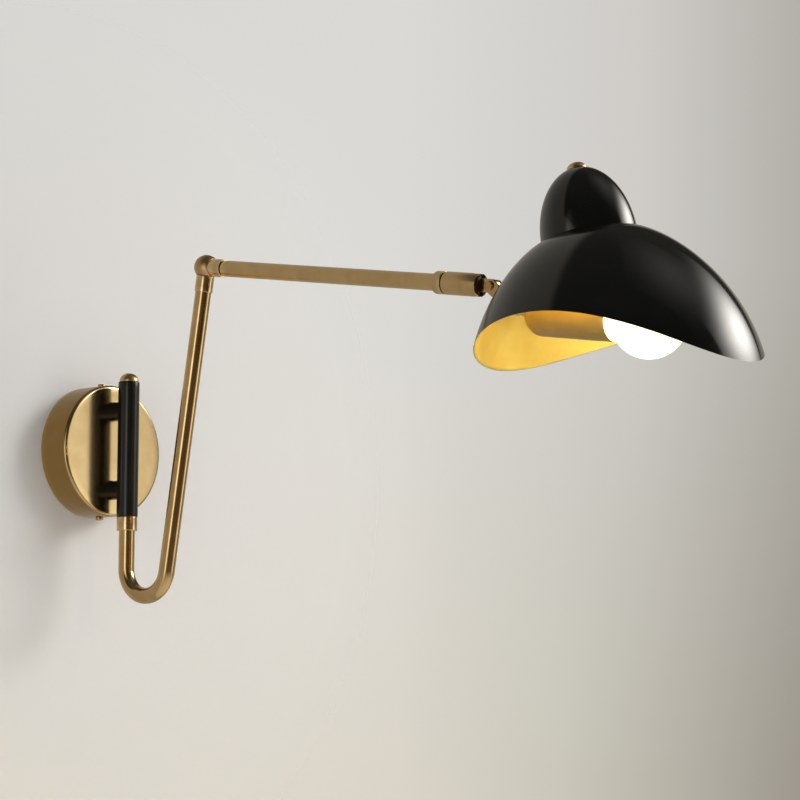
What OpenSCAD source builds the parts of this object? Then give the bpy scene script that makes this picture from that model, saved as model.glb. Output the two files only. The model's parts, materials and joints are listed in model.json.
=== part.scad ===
// Articulated wall lamp: a wall canopy carries an upright barrel, a J-shaped
// lower arm swings in it, an upper arm swivels on a ball elbow, and a spun
// shade rolls and tilts at the end of the upper arm.
// Origin: centre of the canopy's back on the wall plane. +Z is up and the room
// lies along -Y.

/* [Canopy] */
// Outer diameter of the round wall canopy
canopy_d = 120; // [100:1:160]
// Depth of the canopy from the wall to its face
canopy_depth = 31.5; // [26:0.5:45]
// Sheet thickness of the canopy
canopy_wall = 1.2; // [0.8:0.1:2]
// Radius of the rounded edge between the face and the side
canopy_edge_r = 3; // [2.5:0.5:6]
// Distance of the two side screws from the wall
side_screw_y = 14; // [9:0.5:18]
// Thread diameter of the side screws
side_screw_d = 4; // [3:0.5:5]
// Head diameter of the side screws
side_head_d = 7; // [6:0.5:9]
// Head height of the side screws
side_head_h = 2.6; // [2:0.1:4]

/* [Wall bracket] */
// Width of the steel strap
bracket_w = 20; // [16:1:26]
// Thickness of the steel strap
bracket_t = 1.5; // [1:0.1:2.5]
// Distance between the two wall screw slots
wall_slot_spacing = 92; // [84:1:94]
// Width of the wall screw slots
wall_slot_w = 4.5; // [4:0.1:6]
// Length of the wall screw slots, end to end
wall_slot_len = 12; // [8:0.5:13]
// Width of the terminal block
terminal_w = 16; // [12:1:20]
// Height of the terminal block off the strap
terminal_h = 13; // [10:0.5:15]
// Pitch of the three poles of the terminal block
terminal_pitch = 8; // [7:0.5:9]

/* [Posts and barrel] */
// Outer diameter of the upright barrel
barrel_d = 19.2; // [17:0.1:24]
// Wall thickness of the barrel tube
barrel_wall = 1.7; // [1.2:0.1:2.2]
// Length of the barrel
barrel_len = 123; // [110:1:150]
// Gap between the canopy face and the barrel
barrel_gap = 8.9; // [7:0.1:16]
// Diameter of the two posts that carry the barrel
post_d = 18; // [15:0.5:20]
// Distance between the two posts
post_spacing = 72; // [60:1:80]
// Thread diameter of the posts where they pass the canopy
post_thread_d = 10; // [9:0.5:11]
// Bore for the flex through the posts
post_bore_d = 6; // [5:0.1:7]
// Size of the hexagon nuts on the posts, across flats
post_nut_af = 15; // [14:0.5:17]
// Thickness of the hexagon nuts on the posts
post_nut_t = 4; // [3:0.5:6]

/* [Swing spindle] */
// Diameter of the hollow spindle in the barrel
spindle_d = 10; // [9:0.1:10.5]
// Bore of the hollow spindle
spindle_bore_d = 6; // [5:0.1:6.5]
// Length of the two bearing bushes
bush_len = 12; // [8:0.5:18]
// Diameter of the domed cap
cap_d = 17.4; // [15.5:0.1:18.6]
// Height of the domed cap
cap_h = 8; // [7:0.5:14]
// Height of the collar under the barrel
collar_h = 12.3; // [10:0.1:18]

/* [Lower arm] */
// Outer diameter of both arm tubes
tube_d = 14.3; // [13.4:0.1:14.8]
// Wall thickness of both arm tubes
tube_wall = 1.2; // [1:0.1:1.5]
// Centreline radius of the bend at the foot of the J
bend_r = 25.7; // [24:0.1:27]
// Lean of the long leg away from the wall, in degrees
lean = 9.5; // [9:0.1:10]
// Distance of the elbow centre from the wall
elbow_reach = 146; // [143:0.5:150]
// Height of the elbow centre above the canopy centre
elbow_height = 156.5; // [150:0.5:170]

/* [Elbow] */
// Diameter of the elbow ball
ball_d = 22.2; // [21:0.1:24]
// Distance of the ball's flats from its centre
ball_flat = 7.8; // [7.2:0.1:8.4]
// Diameter of the ferrule below the ball and of the ball's neck
ferrule_d = 15.9; // [15.2:0.1:16.8]
// Length of the ferrule below the ball
ferrule_len = 14.3; // [12:0.1:22]
// Distance from the ball's centre to the ring on the ball's neck
neck_start = 13; // [9.5:0.1:15]
// Length of the ball's neck, from the ball's centre
neck_len = 23; // [19:0.1:28]
// Diameter of the small hollow spindle in the elbow
elbow_spindle_d = 7; // [6.4:0.1:7.2]
// Bore of the elbow spindle
elbow_spindle_bore_d = 4.4; // [4.2:0.1:4.6]

/* [Upper arm] */
// Distance from the elbow centre to the swivel seam
arm_len = 275.5; // [200:0.5:400]
// Diameter of the end collar and of the swivel sleeve
sleeve_d = 19.2; // [18:0.1:21]
// Length of the end collar
end_collar_len = 10.4; // [9.5:0.1:14]
// Rounding of the end collar's shoulder
end_collar_round = 1.8; // [1:0.1:1.9]
// Length of the swivel sleeve
sleeve_len = 36.5; // [34:0.5:50]
// Diameter of the hollow spindle in the sleeve
swivel_spindle_d = 8; // [7:0.1:8.5]
// Bore of the hollow spindle in the sleeve
swivel_spindle_bore_d = 5; // [4.6:0.1:5.4]

/* [Knuckle] */
// Distance from the sleeve's end to the tilt pivot
pivot_out = 11.3; // [10.8:0.1:18]
// Thickness of the tongue
tongue_t = 5; // [4:0.1:6]
// Height of the tongue and diameter of its round end
tongue_h = 11; // [10.5:0.1:12]
// Thickness of each fork cheek
cheek_t = 2.6; // [2:0.1:3.2]
// Diameter of the tilt pivot screw
pivot_d = 4; // [3.5:0.1:5]
// Head diameter of the pivot screw
pivot_head_d = 8; // [7:0.1:9]

/* [Shade stem] */
// Diameter of the stem
stem_d = 10; // [9.5:0.1:10.4]
// Bore of the stem
stem_bore_d = 6; // [5:0.1:6.4]
// Downward angle of the stem at the knuckle, from the arm's line
stem_angle = 35; // [32:0.5:40]
// Straight length of the stem at the knuckle
stem_lead = 17.2; // [14:0.1:20]
// Centreline radius of the stem's two bends
stem_bend_r = 22; // [18:0.5:26]
// Straight threaded length that passes the shade
entry_len = 12.8; // [11:0.1:16]
// Roll of the head about the arm's line, in degrees
head_roll = 3; // [-10:0.5:10]

/* [Shade] */
// Radius of the crease between the dome and the flare
crease_r = 38; // [34:0.5:44]
// Height of the dome above the crease
dome_h = 57.5; // [50:0.5:70]
// Radius at the foot of the flare, before the saddle cut
mouth_r = 116.5; // [105:0.5:125]
// Depth of the flare below the crease, before the saddle cut
flare_depth = 132; // [125:1:145]
// Fullness of the flare's curve, higher is slimmer
flare_fullness = 1.48; // [1.3:0.02:1.7]
// Sheet thickness of the shade
shade_wall = 1.2; // [0.8:0.1:2]
// Depth of the saddle cut's highest line below the crease
saddle_rise = 66; // [62:0.5:75]
// Radius of the saddle cut
saddle_r = 207; // [190:1:230]
// Distance of the saddle's highest line behind the shade's axis
saddle_back = 34; // [25:0.5:40]
// Tilt of the shade's axis back over the arm, in degrees
shade_tilt = 19; // [15:0.5:23]
// Depth below the crease at which the stem enters the shade
entry_depth = 32.6; // [31:0.1:34]
// Diameter of the two clamping rings on the stem
clamp_ring_d = 16; // [14:0.5:20]
// Diameter of the finial
finial_d = 16; // [12:0.5:18]
// Height of the finial above the shade
finial_h = 4.5; // [3.5:0.5:12]

/* [Lampholder and bulb] */
// Outer diameter of the lampholder cup
cup_d = 38; // [37:0.5:42]
// Length of the lampholder cup
cup_len = 78; // [70:0.5:82]
// Rounding of the cup's closed end
cup_round = 13; // [8:0.5:16]
// Sheet thickness of the cup
cup_wall = 1; // [0.6:0.1:1.4]
// Outer diameter of the lampholder
holder_d = 34; // [33:0.5:35]
// Length of the lampholder
holder_len = 55; // [50:0.5:57]
// Diameter of the bulb
bulb_d = 60; // [56:0.5:64]
// Overall length of the bulb with its cap
bulb_len = 108; // [104:0.5:112]
// Diameter of the bulb's screw cap
bulb_cap_d = 26.2; // [26:0.1:26.6]
// Length of the bulb's screw cap
bulb_cap_len = 26; // [24:0.5:28]
// Neck radius of the bulb
bulb_neck_r = 13.3; // [13:0.1:13.6]
// Distance from the cup's closed end to the bulb's cap
bulb_set = 34; // [31:0.5:38]

/* [Flex] */
// Diameter of the flex inside the lamp
flex_d = 3.6; // [3:0.1:4]

/* [Fits] */
// Radial clearance of a running fit
run_fit = 0.05; // [0.03:0.01:0.09]
// Radial clearance of a part that is fixed in place
seat_fit = 0.03; // [0.02:0.01:0.05]
// Radial clearance of a screw in a through hole
screw_fit = 0.2; // [0.1:0.05:0.3]
// Thickness of the friction washers between turning parts
washer_t = 0.3; // [0.25:0.05:0.5]

/* [Hidden] */
$fn = 64;

// A bend overlaps the straight part next to it by this much, and their diameters differ by the step
lap = 0.05;
step = 0.1;
brass = "#8f7447";
brass_light = "#c9a766";
satin_black = "#1b1a1a";
gloss_black = "#141414";
gold = "#d9a441";
zinc = "#a9abad";
nylon = "#e9e6df";
fibre = "#2a2623";

// Canopy and bracket
canopy_r = canopy_d / 2;
canopy_in_r = canopy_r - canopy_wall;
screw_shank_d = side_screw_d - 2 * run_fit;
ear_z = sqrt(pow(canopy_in_r, 2) - pow(bracket_w / 2, 2)) - 0.3;
ear_depth = side_screw_y + side_screw_d + 1;
shank_in = ear_z - bracket_t - 2.5;
earth_z = 23;
terminal_len = 3 * terminal_pitch + 3;

// Barrel axis and what stacks along it
barrel_r = barrel_d / 2;
barrel_in_r = barrel_r - barrel_wall;
barrel_y = canopy_depth + barrel_gap + barrel_r;
barrel_top = barrel_len / 2;
barrel_foot = -barrel_len / 2;
post_z = post_spacing / 2;
spigot_d = 8;
spigot_end = barrel_y - barrel_in_r;
post_washer_t = 1;
post_thread_in = canopy_depth - canopy_wall - post_washer_t - post_nut_t - 1.5;
cap_foot = barrel_top + washer_t;
collar_top = barrel_foot - washer_t;
collar_foot = collar_top - collar_h;
collar_r = barrel_r - 0.3;
tube_seat = 6;
spindle_foot = collar_foot + tube_seat + 0.2;
spindle_top = cap_foot + cap_h - 3;

// Lower arm: the long leg leans, and the bend's height follows from the rest
tube_r = tube_d / 2;
tube_bore_r = tube_r - tube_wall;
leg_t = (elbow_reach - barrel_y - bend_r * (1 + cos(lean))) / sin(lean);
bend_z = elbow_height - leg_t * cos(lean) + bend_r * sin(lean);
ferrule_top = ball_flat + washer_t;
leg_seat = 6;
leg_top = ferrule_top + ferrule_len - leg_seat;
leg_len = leg_t - leg_top;

// Elbow ball
ball_r = ball_d / 2;
elbow_nut_af = 8.4;
elbow_nut_t = 2.6;
chamber_r = elbow_nut_af / 2 / cos(30) + 0.3;
chamber_foot = -2;
chamber_top = 3.6;

// Upper arm and sleeve, measured out from the elbow centre
nipple_d = 8;
seam_gap = 0.2;
arm_start = neck_len + seam_gap;
plug_len = 10;
arm_tube_end = arm_len - 5;
sleeve_start = arm_len + washer_t;
sleeve_end = sleeve_start + sleeve_len;
sleeve_r = sleeve_d / 2;
sleeve_back = 5;
swivel_nut_af = 11;
swivel_nut_t = 4;
swivel_chamber_r = 7;
swivel_chamber_end = sleeve_end - 13;
tongue_seat = 9;
slot_fit = 0.05;
pivot_reach = sleeve_end + pivot_out;
pin_d = 3;
pin_at = sleeve_end - 4.6;

// Knuckle
cheek_in = tongue_t / 2 + washer_t;
cheek_out = cheek_in + cheek_t;
root_start = tongue_h / 2 + 0.7;
root_len = 4.6;
root_r = tongue_h / 2;

// Shade profile, as functions of the angle that sweeps the curve
dome_steps = 14;
flare_steps = 18;
function flare_x(u) = crease_r + (mouth_r - crease_r) * pow(sin(u), flare_fullness);
function flare_z(u) = -flare_depth * (1 - cos(u));
function flare_dx(u) = (mouth_r - crease_r) * flare_fullness * pow(sin(u), flare_fullness - 1) * cos(u);
function flare_dz(u) = -flare_depth * sin(u);
function unit(v) = v / norm(v);
function flare_normal(u) = unit([-flare_dz(u), flare_dx(u)]);
function dome_point(v) = [crease_r * cos(v), dome_h * sin(v)];
function dome_normal(v) = unit([cos(v) / crease_r, sin(v) / dome_h]);
entry_u = acos(1 - entry_depth / flare_depth);
entry_point = [flare_x(entry_u), flare_z(entry_u)] - shade_wall / 2 * flare_normal(entry_u);
// The stem passes the shade's wall square to it
entry_angle = atan2(flare_normal(entry_u)[1], flare_normal(entry_u)[0]) - shade_tilt;

// Stem centreline in the head plane: along the arm, then above it
bend_1_run = stem_bend_r * (sin(stem_angle) - sin(entry_angle));
bend_1_drop = stem_bend_r * (cos(entry_angle) - cos(stem_angle));
lead_end = [stem_lead * cos(stem_angle), -stem_lead * sin(stem_angle)];
entry_start = lead_end + [bend_1_run, -bend_1_drop];
entry_mid = entry_start + entry_len / 2 * [cos(entry_angle), -sin(entry_angle)];
entry_end = entry_start + entry_len * [cos(entry_angle), -sin(entry_angle)];
stem_end = entry_end + stem_bend_r * [sin(entry_angle), -(1 - cos(entry_angle))];
stem_boss_d = stem_d + 1;
entry_nipple_d = 8;
entry_bore_d = 5;
neck_nut_t = 2;
cup_start = stem_end[0] + neck_nut_t + 0.3;
cup_drop = stem_end[1];
nipple_in = 14;

// Shade and the rings that clamp it
shade_at = entry_mid
    + entry_point[0] * [cos(shade_tilt), sin(shade_tilt)]
    - entry_point[1] * [-sin(shade_tilt), cos(shade_tilt)];
// The outer ring rests on the crown of the wall, and the inner one on its rim inside the curve
entry_curve_r = flare_x(entry_u) / flare_normal(entry_u)[0];
ring_t = 2;
ring_gap = shade_wall / 2 + 0.1;
inner_ring_d = clamp_ring_d - 2;
inner_ring_t = 1;
inner_ring_gap = shade_wall / 2 + pow(inner_ring_d / 2, 2) / (2 * entry_curve_r) + 0.15;
clamp_nut_af = 13;
clamp_nut_t = 2;
clamp_nut_gap = inner_ring_gap + inner_ring_t + 0.05;
fork_boss = entry_len / 2 - ring_gap - ring_t - 0.05;
tube_from = entry_len / 2 + clamp_nut_gap + clamp_nut_t + 0.1;
entry_tube_start = entry_start + tube_from * [cos(entry_angle), -sin(entry_angle)];

finial_stud_d = 6;
finial_nut_af = 10;
finial_nut_t = 3;

// Lampholder and bulb
cup_r = cup_d / 2;
holder_start = 5;
shell_d = 27.4;
shell_t = 0.4;
bulb_r = bulb_d / 2;
bulb_mid = bulb_len - bulb_r;
neck_run = bulb_mid - bulb_cap_len - 5;
neck_fillet = (pow(neck_run, 2) - pow(bulb_r, 2) + pow(bulb_neck_r, 2)) / 2 / (bulb_r - bulb_neck_r);
neck_turn = asin(neck_run / (bulb_r + neck_fillet));
glass_t = 0.8;

// Frames: what is drawn inside stands along the named line, +Z outwards
module at_elbow() { translate([0, -elbow_reach, elbow_height]) rotate([lean, 0, 0]) children(); }
module along_leg(d = 0) { at_elbow() translate([0, 0, -d]) mirror([0, 0, 1]) children(); }
module along_arm(d = 0) { at_elbow() rotate([90, 0, 0]) translate([0, 0, d]) children(); }
module along_swivel(d = 0) {
    at_elbow() rotate([0, -head_roll, 0]) rotate([90, 0, 0]) translate([0, 0, d]) children();
}
module in_head(p, angle = 0) {
    along_swivel(pivot_reach + p[0]) translate([0, p[1], 0]) rotate([angle, 0, 0]) children();
}
module in_cup(d = 0) { in_head([cup_start + d, cup_drop]) children(); }
module in_shade() { in_head(shade_at) rotate([-90 - shade_tilt, 0, 0]) children(); }
module on_barrel(z = 0) { translate([0, -barrel_y, z]) children(); }
module off_wall(y = 0, z = 0) { translate([0, -y, z]) rotate([90, 0, 0]) children(); }

// Shared shapes
module ring(outer, inner, h) {
    difference() {
        cylinder(d = outer, h = h);
        translate([0, 0, -1]) cylinder(d = inner, h = h + 2);
    }
}
module hex_nut(af, bore, h) {
    difference() {
        cylinder(d = af / cos(30), h = h, $fn = 6);
        translate([0, 0, -1]) cylinder(d = bore, h = h + 2);
    }
}
// Bent rod in the YZ plane: starts at the origin along +Z and turns towards +Y
module bent_rod(d, r, turn) {
    translate([0, r, 0]) rotate([0, -90, 0]) rotate([0, 0, -90])
        rotate_extrude(angle = turn) translate([r, 0]) circle(d = d);
}
module screw_head(d, h) {
    rotate_extrude() polygon([
        [0, 0], [d / 2 - 0.3, 0], [d / 2, 0.3], [d / 2, h - 0.8], [d / 2 - 0.25, h - 0.35],
        [d / 2 - 0.8, h], [0, h]]);
}

// Wall base
module bracket_ear(side) {
    difference() {
        translate([-bracket_w / 2, -ear_depth, side > 0 ? ear_z - bracket_t : -ear_z])
            cube([bracket_w, ear_depth, bracket_t]);
        translate([0, -side_screw_y, side * (ear_z - bracket_t / 2)])
            cylinder(d = side_screw_d, h = 3 * bracket_t, center = true);
    }
}
module wall_slot(z) {
    slot_run = wall_slot_len - wall_slot_w;
    for (end = [-1, 1])
        off_wall(-1, z + end * slot_run / 2) cylinder(d = wall_slot_w, h = bracket_t + 2);
    translate([-wall_slot_w / 2, -bracket_t - 1, z - slot_run / 2])
        cube([wall_slot_w, bracket_t + 2, slot_run]);
}
module wall_bracket() {
    color(zinc) {
        difference() {
            translate([-bracket_w / 2, -bracket_t, -ear_z]) cube([bracket_w, bracket_t, 2 * ear_z]);
            for (side = [-1, 1]) wall_slot(side * wall_slot_spacing / 2);
            off_wall(-1, earth_z) cylinder(d = side_screw_d, h = bracket_t + 2);
        }
        for (side = [-1, 1]) bracket_ear(side);
    }
}
module canopy() {
    edge = [for (i = [0:6]) [canopy_r - canopy_edge_r + canopy_edge_r * cos(i * 15),
                             canopy_depth - canopy_edge_r + canopy_edge_r * sin(i * 15)]];
    inner_edge_r = canopy_edge_r - canopy_wall;
    inner_edge = [for (i = [6:-1:0]) [canopy_r - canopy_edge_r + inner_edge_r * cos(i * 15),
                                      canopy_depth - canopy_edge_r + inner_edge_r * sin(i * 15)]];
    color(brass_light) difference() {
        off_wall() rotate_extrude($fn = 128) polygon(concat(
            [[canopy_in_r, 0], [canopy_r, 0]], edge, [[0, canopy_depth]],
            [[0, canopy_depth - canopy_wall]], inner_edge));
        for (side = [-1, 1]) {
            off_wall(canopy_depth - canopy_wall - 1, side * post_z)
                cylinder(d = post_thread_d + 2 * screw_fit, h = canopy_wall + 2);
            translate([0, -side_screw_y, side * canopy_r])
                cylinder(d = side_screw_d + 2 * screw_fit, h = 6, center = true);
        }
    }
}
module side_screws() {
    for (side = [0, 1]) color(brass_light) mirror([0, 0, side]) translate([0, -side_screw_y, 0]) {
        difference() {
            translate([0, 0, canopy_r + 0.02]) screw_head(side_head_d, side_head_h);
            translate([-side_head_d, -0.5, canopy_r + side_head_h - 1]) cube([2 * side_head_d, 1, 2]);
        }
        translate([0, 0, shank_in]) cylinder(d = screw_shank_d, h = canopy_r + 0.5 - shank_in);
    }
}
module terminal_block() {
    color(nylon) difference() {
        translate([-terminal_w / 2, -bracket_t - terminal_h, -terminal_len / 2])
            cube([terminal_w, terminal_h, terminal_len]);
        for (pole = [-1:1], side = [-1, 1])
            translate([side * terminal_w / 4, -bracket_t - terminal_h, pole * terminal_pitch])
                rotate([90, 0, 0]) cylinder(d = 3.6, h = 12, center = true);
        for (pole = [-1:1])
            translate([0, -bracket_t - terminal_h / 3, pole * terminal_pitch])
                rotate([0, 90, 0]) cylinder(d = 3, h = terminal_w + 2, center = true);
    }
}
module earth_screw() {
    color(brass_light) {
        off_wall(bracket_t + 0.05, earth_z) difference() {
            screw_head(side_head_d, side_head_h);
            translate([-side_head_d, -0.5, side_head_h - 1]) cube([2 * side_head_d, 1, 2]);
        }
        off_wall(0.2, earth_z) cylinder(d = screw_shank_d, h = bracket_t + 0.5);
    }
}
module post(z) {
    color(satin_black) difference() {
        union() {
            difference() {
                off_wall(canopy_depth, z) cylinder(d = post_d, h = barrel_gap + barrel_r);
                on_barrel(z) cylinder(r = barrel_r + seat_fit, h = 2 * post_d, center = true);
            }
            off_wall(post_thread_in, z) cylinder(d = post_thread_d, h = canopy_depth - post_thread_in + 1);
            off_wall(canopy_depth + 1, z) cylinder(d = spigot_d, h = spigot_end - canopy_depth - 1);
        }
        off_wall(0, z) cylinder(d = post_bore_d, h = 2 * barrel_y);
    }
}
module upper_post() { post(post_z); }
module lower_post() { post(-post_z); }
module post_washers() {
    for (side = [-1, 1]) color(zinc)
        off_wall(canopy_depth - canopy_wall - post_washer_t, side * post_z)
            ring(post_nut_af / cos(30) + 1, post_thread_d + 2 * screw_fit, post_washer_t);
}
module post_nuts() {
    for (side = [-1, 1]) color(zinc)
        off_wall(canopy_depth - canopy_wall - post_washer_t - post_nut_t, side * post_z)
            hex_nut(post_nut_af, post_thread_d + 2 * seat_fit, post_nut_t);
}
module barrel() {
    color(satin_black) difference() {
        on_barrel(barrel_foot) ring(barrel_d, 2 * barrel_in_r, barrel_len);
        for (side = [-1, 1])
            off_wall(barrel_y - barrel_d, side * post_z) cylinder(d = spigot_d + 2 * seat_fit, h = barrel_d);
    }
}
module bush(z) {
    color(brass) on_barrel(z) ring(2 * (barrel_in_r - seat_fit), spindle_d + 2 * run_fit, bush_len);
}
module upper_bush() { bush(barrel_top - bush_len); }
module lower_bush() { bush(barrel_foot); }
module base_flex() {
    drop = 9;
    start = terminal_len / 2 + 0.3;
    turn_z = post_z - drop;
    color(nylon) {
        translate([0, -bracket_t - terminal_h / 2, -turn_z - lap])
            cylinder(d = flex_d - step, h = turn_z - start + lap);
        translate([0, -bracket_t - terminal_h / 2, -turn_z]) mirror([0, 1, 0]) mirror([0, 0, 1])
            bent_rod(flex_d, drop, 90);
        off_wall(bracket_t + terminal_h / 2 + drop - lap, -post_z)
            cylinder(d = flex_d - step, h = barrel_y - spindle_d / 2 - 1 - bracket_t - terminal_h / 2 - drop);
    }
}

// Lower arm
module cap_washer() {
    color(nylon) on_barrel(barrel_top + 0.02) ring(cap_d - 1, spindle_d + 2 * run_fit, washer_t - 0.04);
}
module barrel_cap() {
    dome_r = cap_d / 2;
    skirt = cap_h - dome_r > 0.5 ? cap_h - dome_r : 0.5;
    rise = cap_h - skirt;
    dome = [for (i = [0:9]) [dome_r * cos(i * 10), skirt + rise * sin(i * 10)]];
    color(brass) on_barrel(cap_foot) difference() {
        rotate_extrude() polygon(concat([[0, 0], [dome_r, 0]], dome));
        translate([0, 0, -1]) cylinder(d = spindle_d + 2 * seat_fit, h = spindle_top - cap_foot + 1.1);
    }
}
module swing_spindle() {
    color(zinc) difference() {
        on_barrel(spindle_foot) cylinder(d = spindle_d, h = spindle_top - spindle_foot);
        on_barrel(spindle_foot - 1) cylinder(d = spindle_bore_d, h = spindle_top - spindle_foot + 2);
        translate([-spindle_bore_d / 2, -barrel_y, -post_z - 8])
            cube([spindle_bore_d, spindle_d, 16]);
    }
}
module collar_washer() {
    color(fibre) on_barrel(barrel_foot - washer_t + 0.02)
        ring(2 * collar_r - 0.6, spindle_d + 2 * run_fit, washer_t - 0.04);
}
module bottom_collar() {
    color(brass_light) on_barrel(collar_foot) difference() {
        rotate_extrude() polygon([
            [0, 0], [collar_r - 0.4, 0], [collar_r, 0.4], [collar_r, collar_h], [0, collar_h]]);
        translate([0, 0, -1]) cylinder(d = spindle_d + 2 * seat_fit, h = collar_h + 2);
        translate([0, 0, -1]) cylinder(d = tube_d + 2 * seat_fit, h = tube_seat + 1);
    }
}
// The J: a short leg down from the collar, the bend and the long leaning leg
module j_bend(d) {
    on_barrel(bend_z) mirror([0, 1, 0]) mirror([0, 0, 1]) bent_rod(d, bend_r, 180 - lean);
}
module lower_arm_tube() {
    top = collar_foot + tube_seat;
    color(brass) difference() {
        union() {
            on_barrel(bend_z - lap) cylinder(d = tube_d - step, h = top - bend_z + lap);
            j_bend(tube_d);
            along_leg(leg_top) cylinder(d = tube_d - step, h = leg_len + lap);
        }
        on_barrel(bend_z - lap) cylinder(r = tube_bore_r + step / 2, h = top - bend_z + 1);
        j_bend(2 * tube_bore_r);
        along_leg(leg_top - 1) cylinder(r = tube_bore_r + step / 2, h = leg_len + 1 + lap);
    }
}
module elbow_ferrule() {
    chamfer = 0.4;
    color(brass) along_leg(ferrule_top) difference() {
        rotate_extrude() polygon([
            [0, 0], [ferrule_d / 2 - chamfer, 0], [ferrule_d / 2, chamfer],
            [ferrule_d / 2, ferrule_len - chamfer], [ferrule_d / 2 - chamfer, ferrule_len],
            [0, ferrule_len]]);
        translate([0, 0, -1]) cylinder(d = elbow_spindle_d + 2 * seat_fit, h = ferrule_len + 2);
        translate([0, 0, ferrule_len - leg_seat]) cylinder(d = tube_d + 2 * seat_fit, h = leg_seat + 1);
    }
}
module elbow_spindle() {
    top = chamber_foot + elbow_nut_t + 0.8;
    color(zinc) along_leg(-top) ring(elbow_spindle_d, elbow_spindle_bore_d, leg_top - 0.5 + top);
}
module elbow_nut() {
    color(zinc) at_elbow() translate([0, 0, chamber_foot + 0.05])
        hex_nut(elbow_nut_af, elbow_spindle_d + 2 * seat_fit, elbow_nut_t);
}
module elbow_washer() {
    color(fibre) along_leg(ball_flat + 0.02)
        ring(ferrule_d - 1.4, elbow_spindle_d + 2 * run_fit, washer_t - 0.04);
}
module lower_flex() {
    top = -post_z;
    leg_run = leg_t - 1.5;
    color(nylon) {
        on_barrel(bend_z - lap) cylinder(d = flex_d - step, h = top - bend_z + lap);
        j_bend(flex_d);
        along_leg(1.5) cylinder(d = flex_d - step, h = leg_run + lap);
    }
}

// Upper arm
module elbow_ball() {
    neck_chamfer = 0.4;
    neck_root = ball_flat - 0.5;
    neck_root_r = ball_flat - 0.1;
    neck_r = ferrule_d / 2;
    color(brass) difference() {
        union() {
            difference() {
                at_elbow() sphere(d = ball_d);
                along_leg(ball_flat) cylinder(d = ball_d, h = ball_d);
                along_arm(ball_flat) cylinder(d = ball_d, h = ball_d);
            }
            along_arm(0) rotate_extrude() polygon([
                [0, neck_root], [neck_root_r, neck_root], [neck_root_r, neck_start],
                [neck_r - neck_chamfer, neck_start], [neck_r, neck_start + neck_chamfer],
                [neck_r, neck_len - neck_chamfer], [neck_r - neck_chamfer, neck_len], [0, neck_len]]);
        }
        at_elbow() translate([0, 0, -ball_r]) cylinder(d = elbow_spindle_d + 2 * run_fit, h = ball_r);
        at_elbow() translate([0, 0, chamber_foot]) cylinder(r = chamber_r, h = chamber_top - chamber_foot);
        along_arm(0) cylinder(d = elbow_spindle_bore_d, h = neck_len + 1);
        along_arm(ball_flat + 2) cylinder(d = nipple_d + 2 * seat_fit, h = neck_len);
    }
}
module arm_nipple() {
    color(zinc) along_arm(ball_flat + 2.2)
        ring(nipple_d, elbow_spindle_bore_d, arm_start + plug_len - ball_flat - 2.2 - 0.5);
}
module arm_plug() {
    color(brass) along_arm(arm_start + 0.2)
        ring(2 * (tube_bore_r - seat_fit), nipple_d + 2 * seat_fit, plug_len - 0.2);
}
module upper_arm_tube() {
    color(brass) along_arm(arm_start) ring(tube_d, 2 * tube_bore_r, arm_tube_end - arm_start);
}
module arm_end_collar() {
    shoulder = [for (i = [0:6]) [sleeve_r - end_collar_round + end_collar_round * sin(i * 15),
                                 end_collar_round - end_collar_round * cos(i * 15)]];
    color(brass) along_arm(arm_len - end_collar_len) difference() {
        rotate_extrude() polygon(concat([[0, 0]], shoulder, [
            [sleeve_r, end_collar_len - 0.3], [sleeve_r - 0.3, end_collar_len], [0, end_collar_len]]));
        translate([0, 0, -1]) cylinder(d = swivel_spindle_d + 2 * seat_fit, h = end_collar_len + 2);
        translate([0, 0, -1])
            cylinder(d = tube_d + 2 * seat_fit, h = arm_tube_end + 0.2 - arm_len + end_collar_len + 1);
    }
}
module swivel_spindle() {
    tail = 1.5;
    start = arm_tube_end - 0.5;
    end = sleeve_start + sleeve_back + swivel_nut_t + tail;
    color(zinc) along_arm(start) ring(swivel_spindle_d, swivel_spindle_bore_d, end - start);
}
module swivel_nut() {
    color(zinc) along_arm(sleeve_start + sleeve_back + 0.05)
        hex_nut(swivel_nut_af, swivel_spindle_d + 2 * seat_fit, swivel_nut_t);
}
module swivel_washer() {
    color(fibre) along_arm(arm_len + 0.02)
        ring(sleeve_d - 1.2, swivel_spindle_d + 2 * run_fit, washer_t - 0.04);
}
module upper_flex() {
    color(nylon) along_arm(6) cylinder(d = flex_d, h = swivel_chamber_end - 6 - 2);
}

// Swivel sleeve with its tongue
module swivel_sleeve() {
    chamfer = 1.5;
    color(brass) along_swivel(sleeve_start) difference() {
        rotate_extrude() polygon([
            [0, 0], [sleeve_r - 0.3, 0], [sleeve_r, 0.3], [sleeve_r, sleeve_len - chamfer],
            [sleeve_r - chamfer, sleeve_len], [0, sleeve_len]]);
        translate([0, 0, -1]) cylinder(d = swivel_spindle_d + 2 * run_fit, h = sleeve_back + 2);
        translate([0, 0, sleeve_back])
            cylinder(r = swivel_chamber_r, h = swivel_chamber_end - sleeve_start - sleeve_back);
        translate([-tongue_t / 2 - slot_fit, -sleeve_r - 1, sleeve_len - tongue_seat])
            cube([tongue_t + 2 * slot_fit, sleeve_d + 2, tongue_seat + 1]);
        translate([-sleeve_r + 3, 0, pin_at - sleeve_start]) rotate([0, 90, 0])
            cylinder(d = pin_d + 2 * seat_fit, h = sleeve_d);
    }
}
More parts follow.
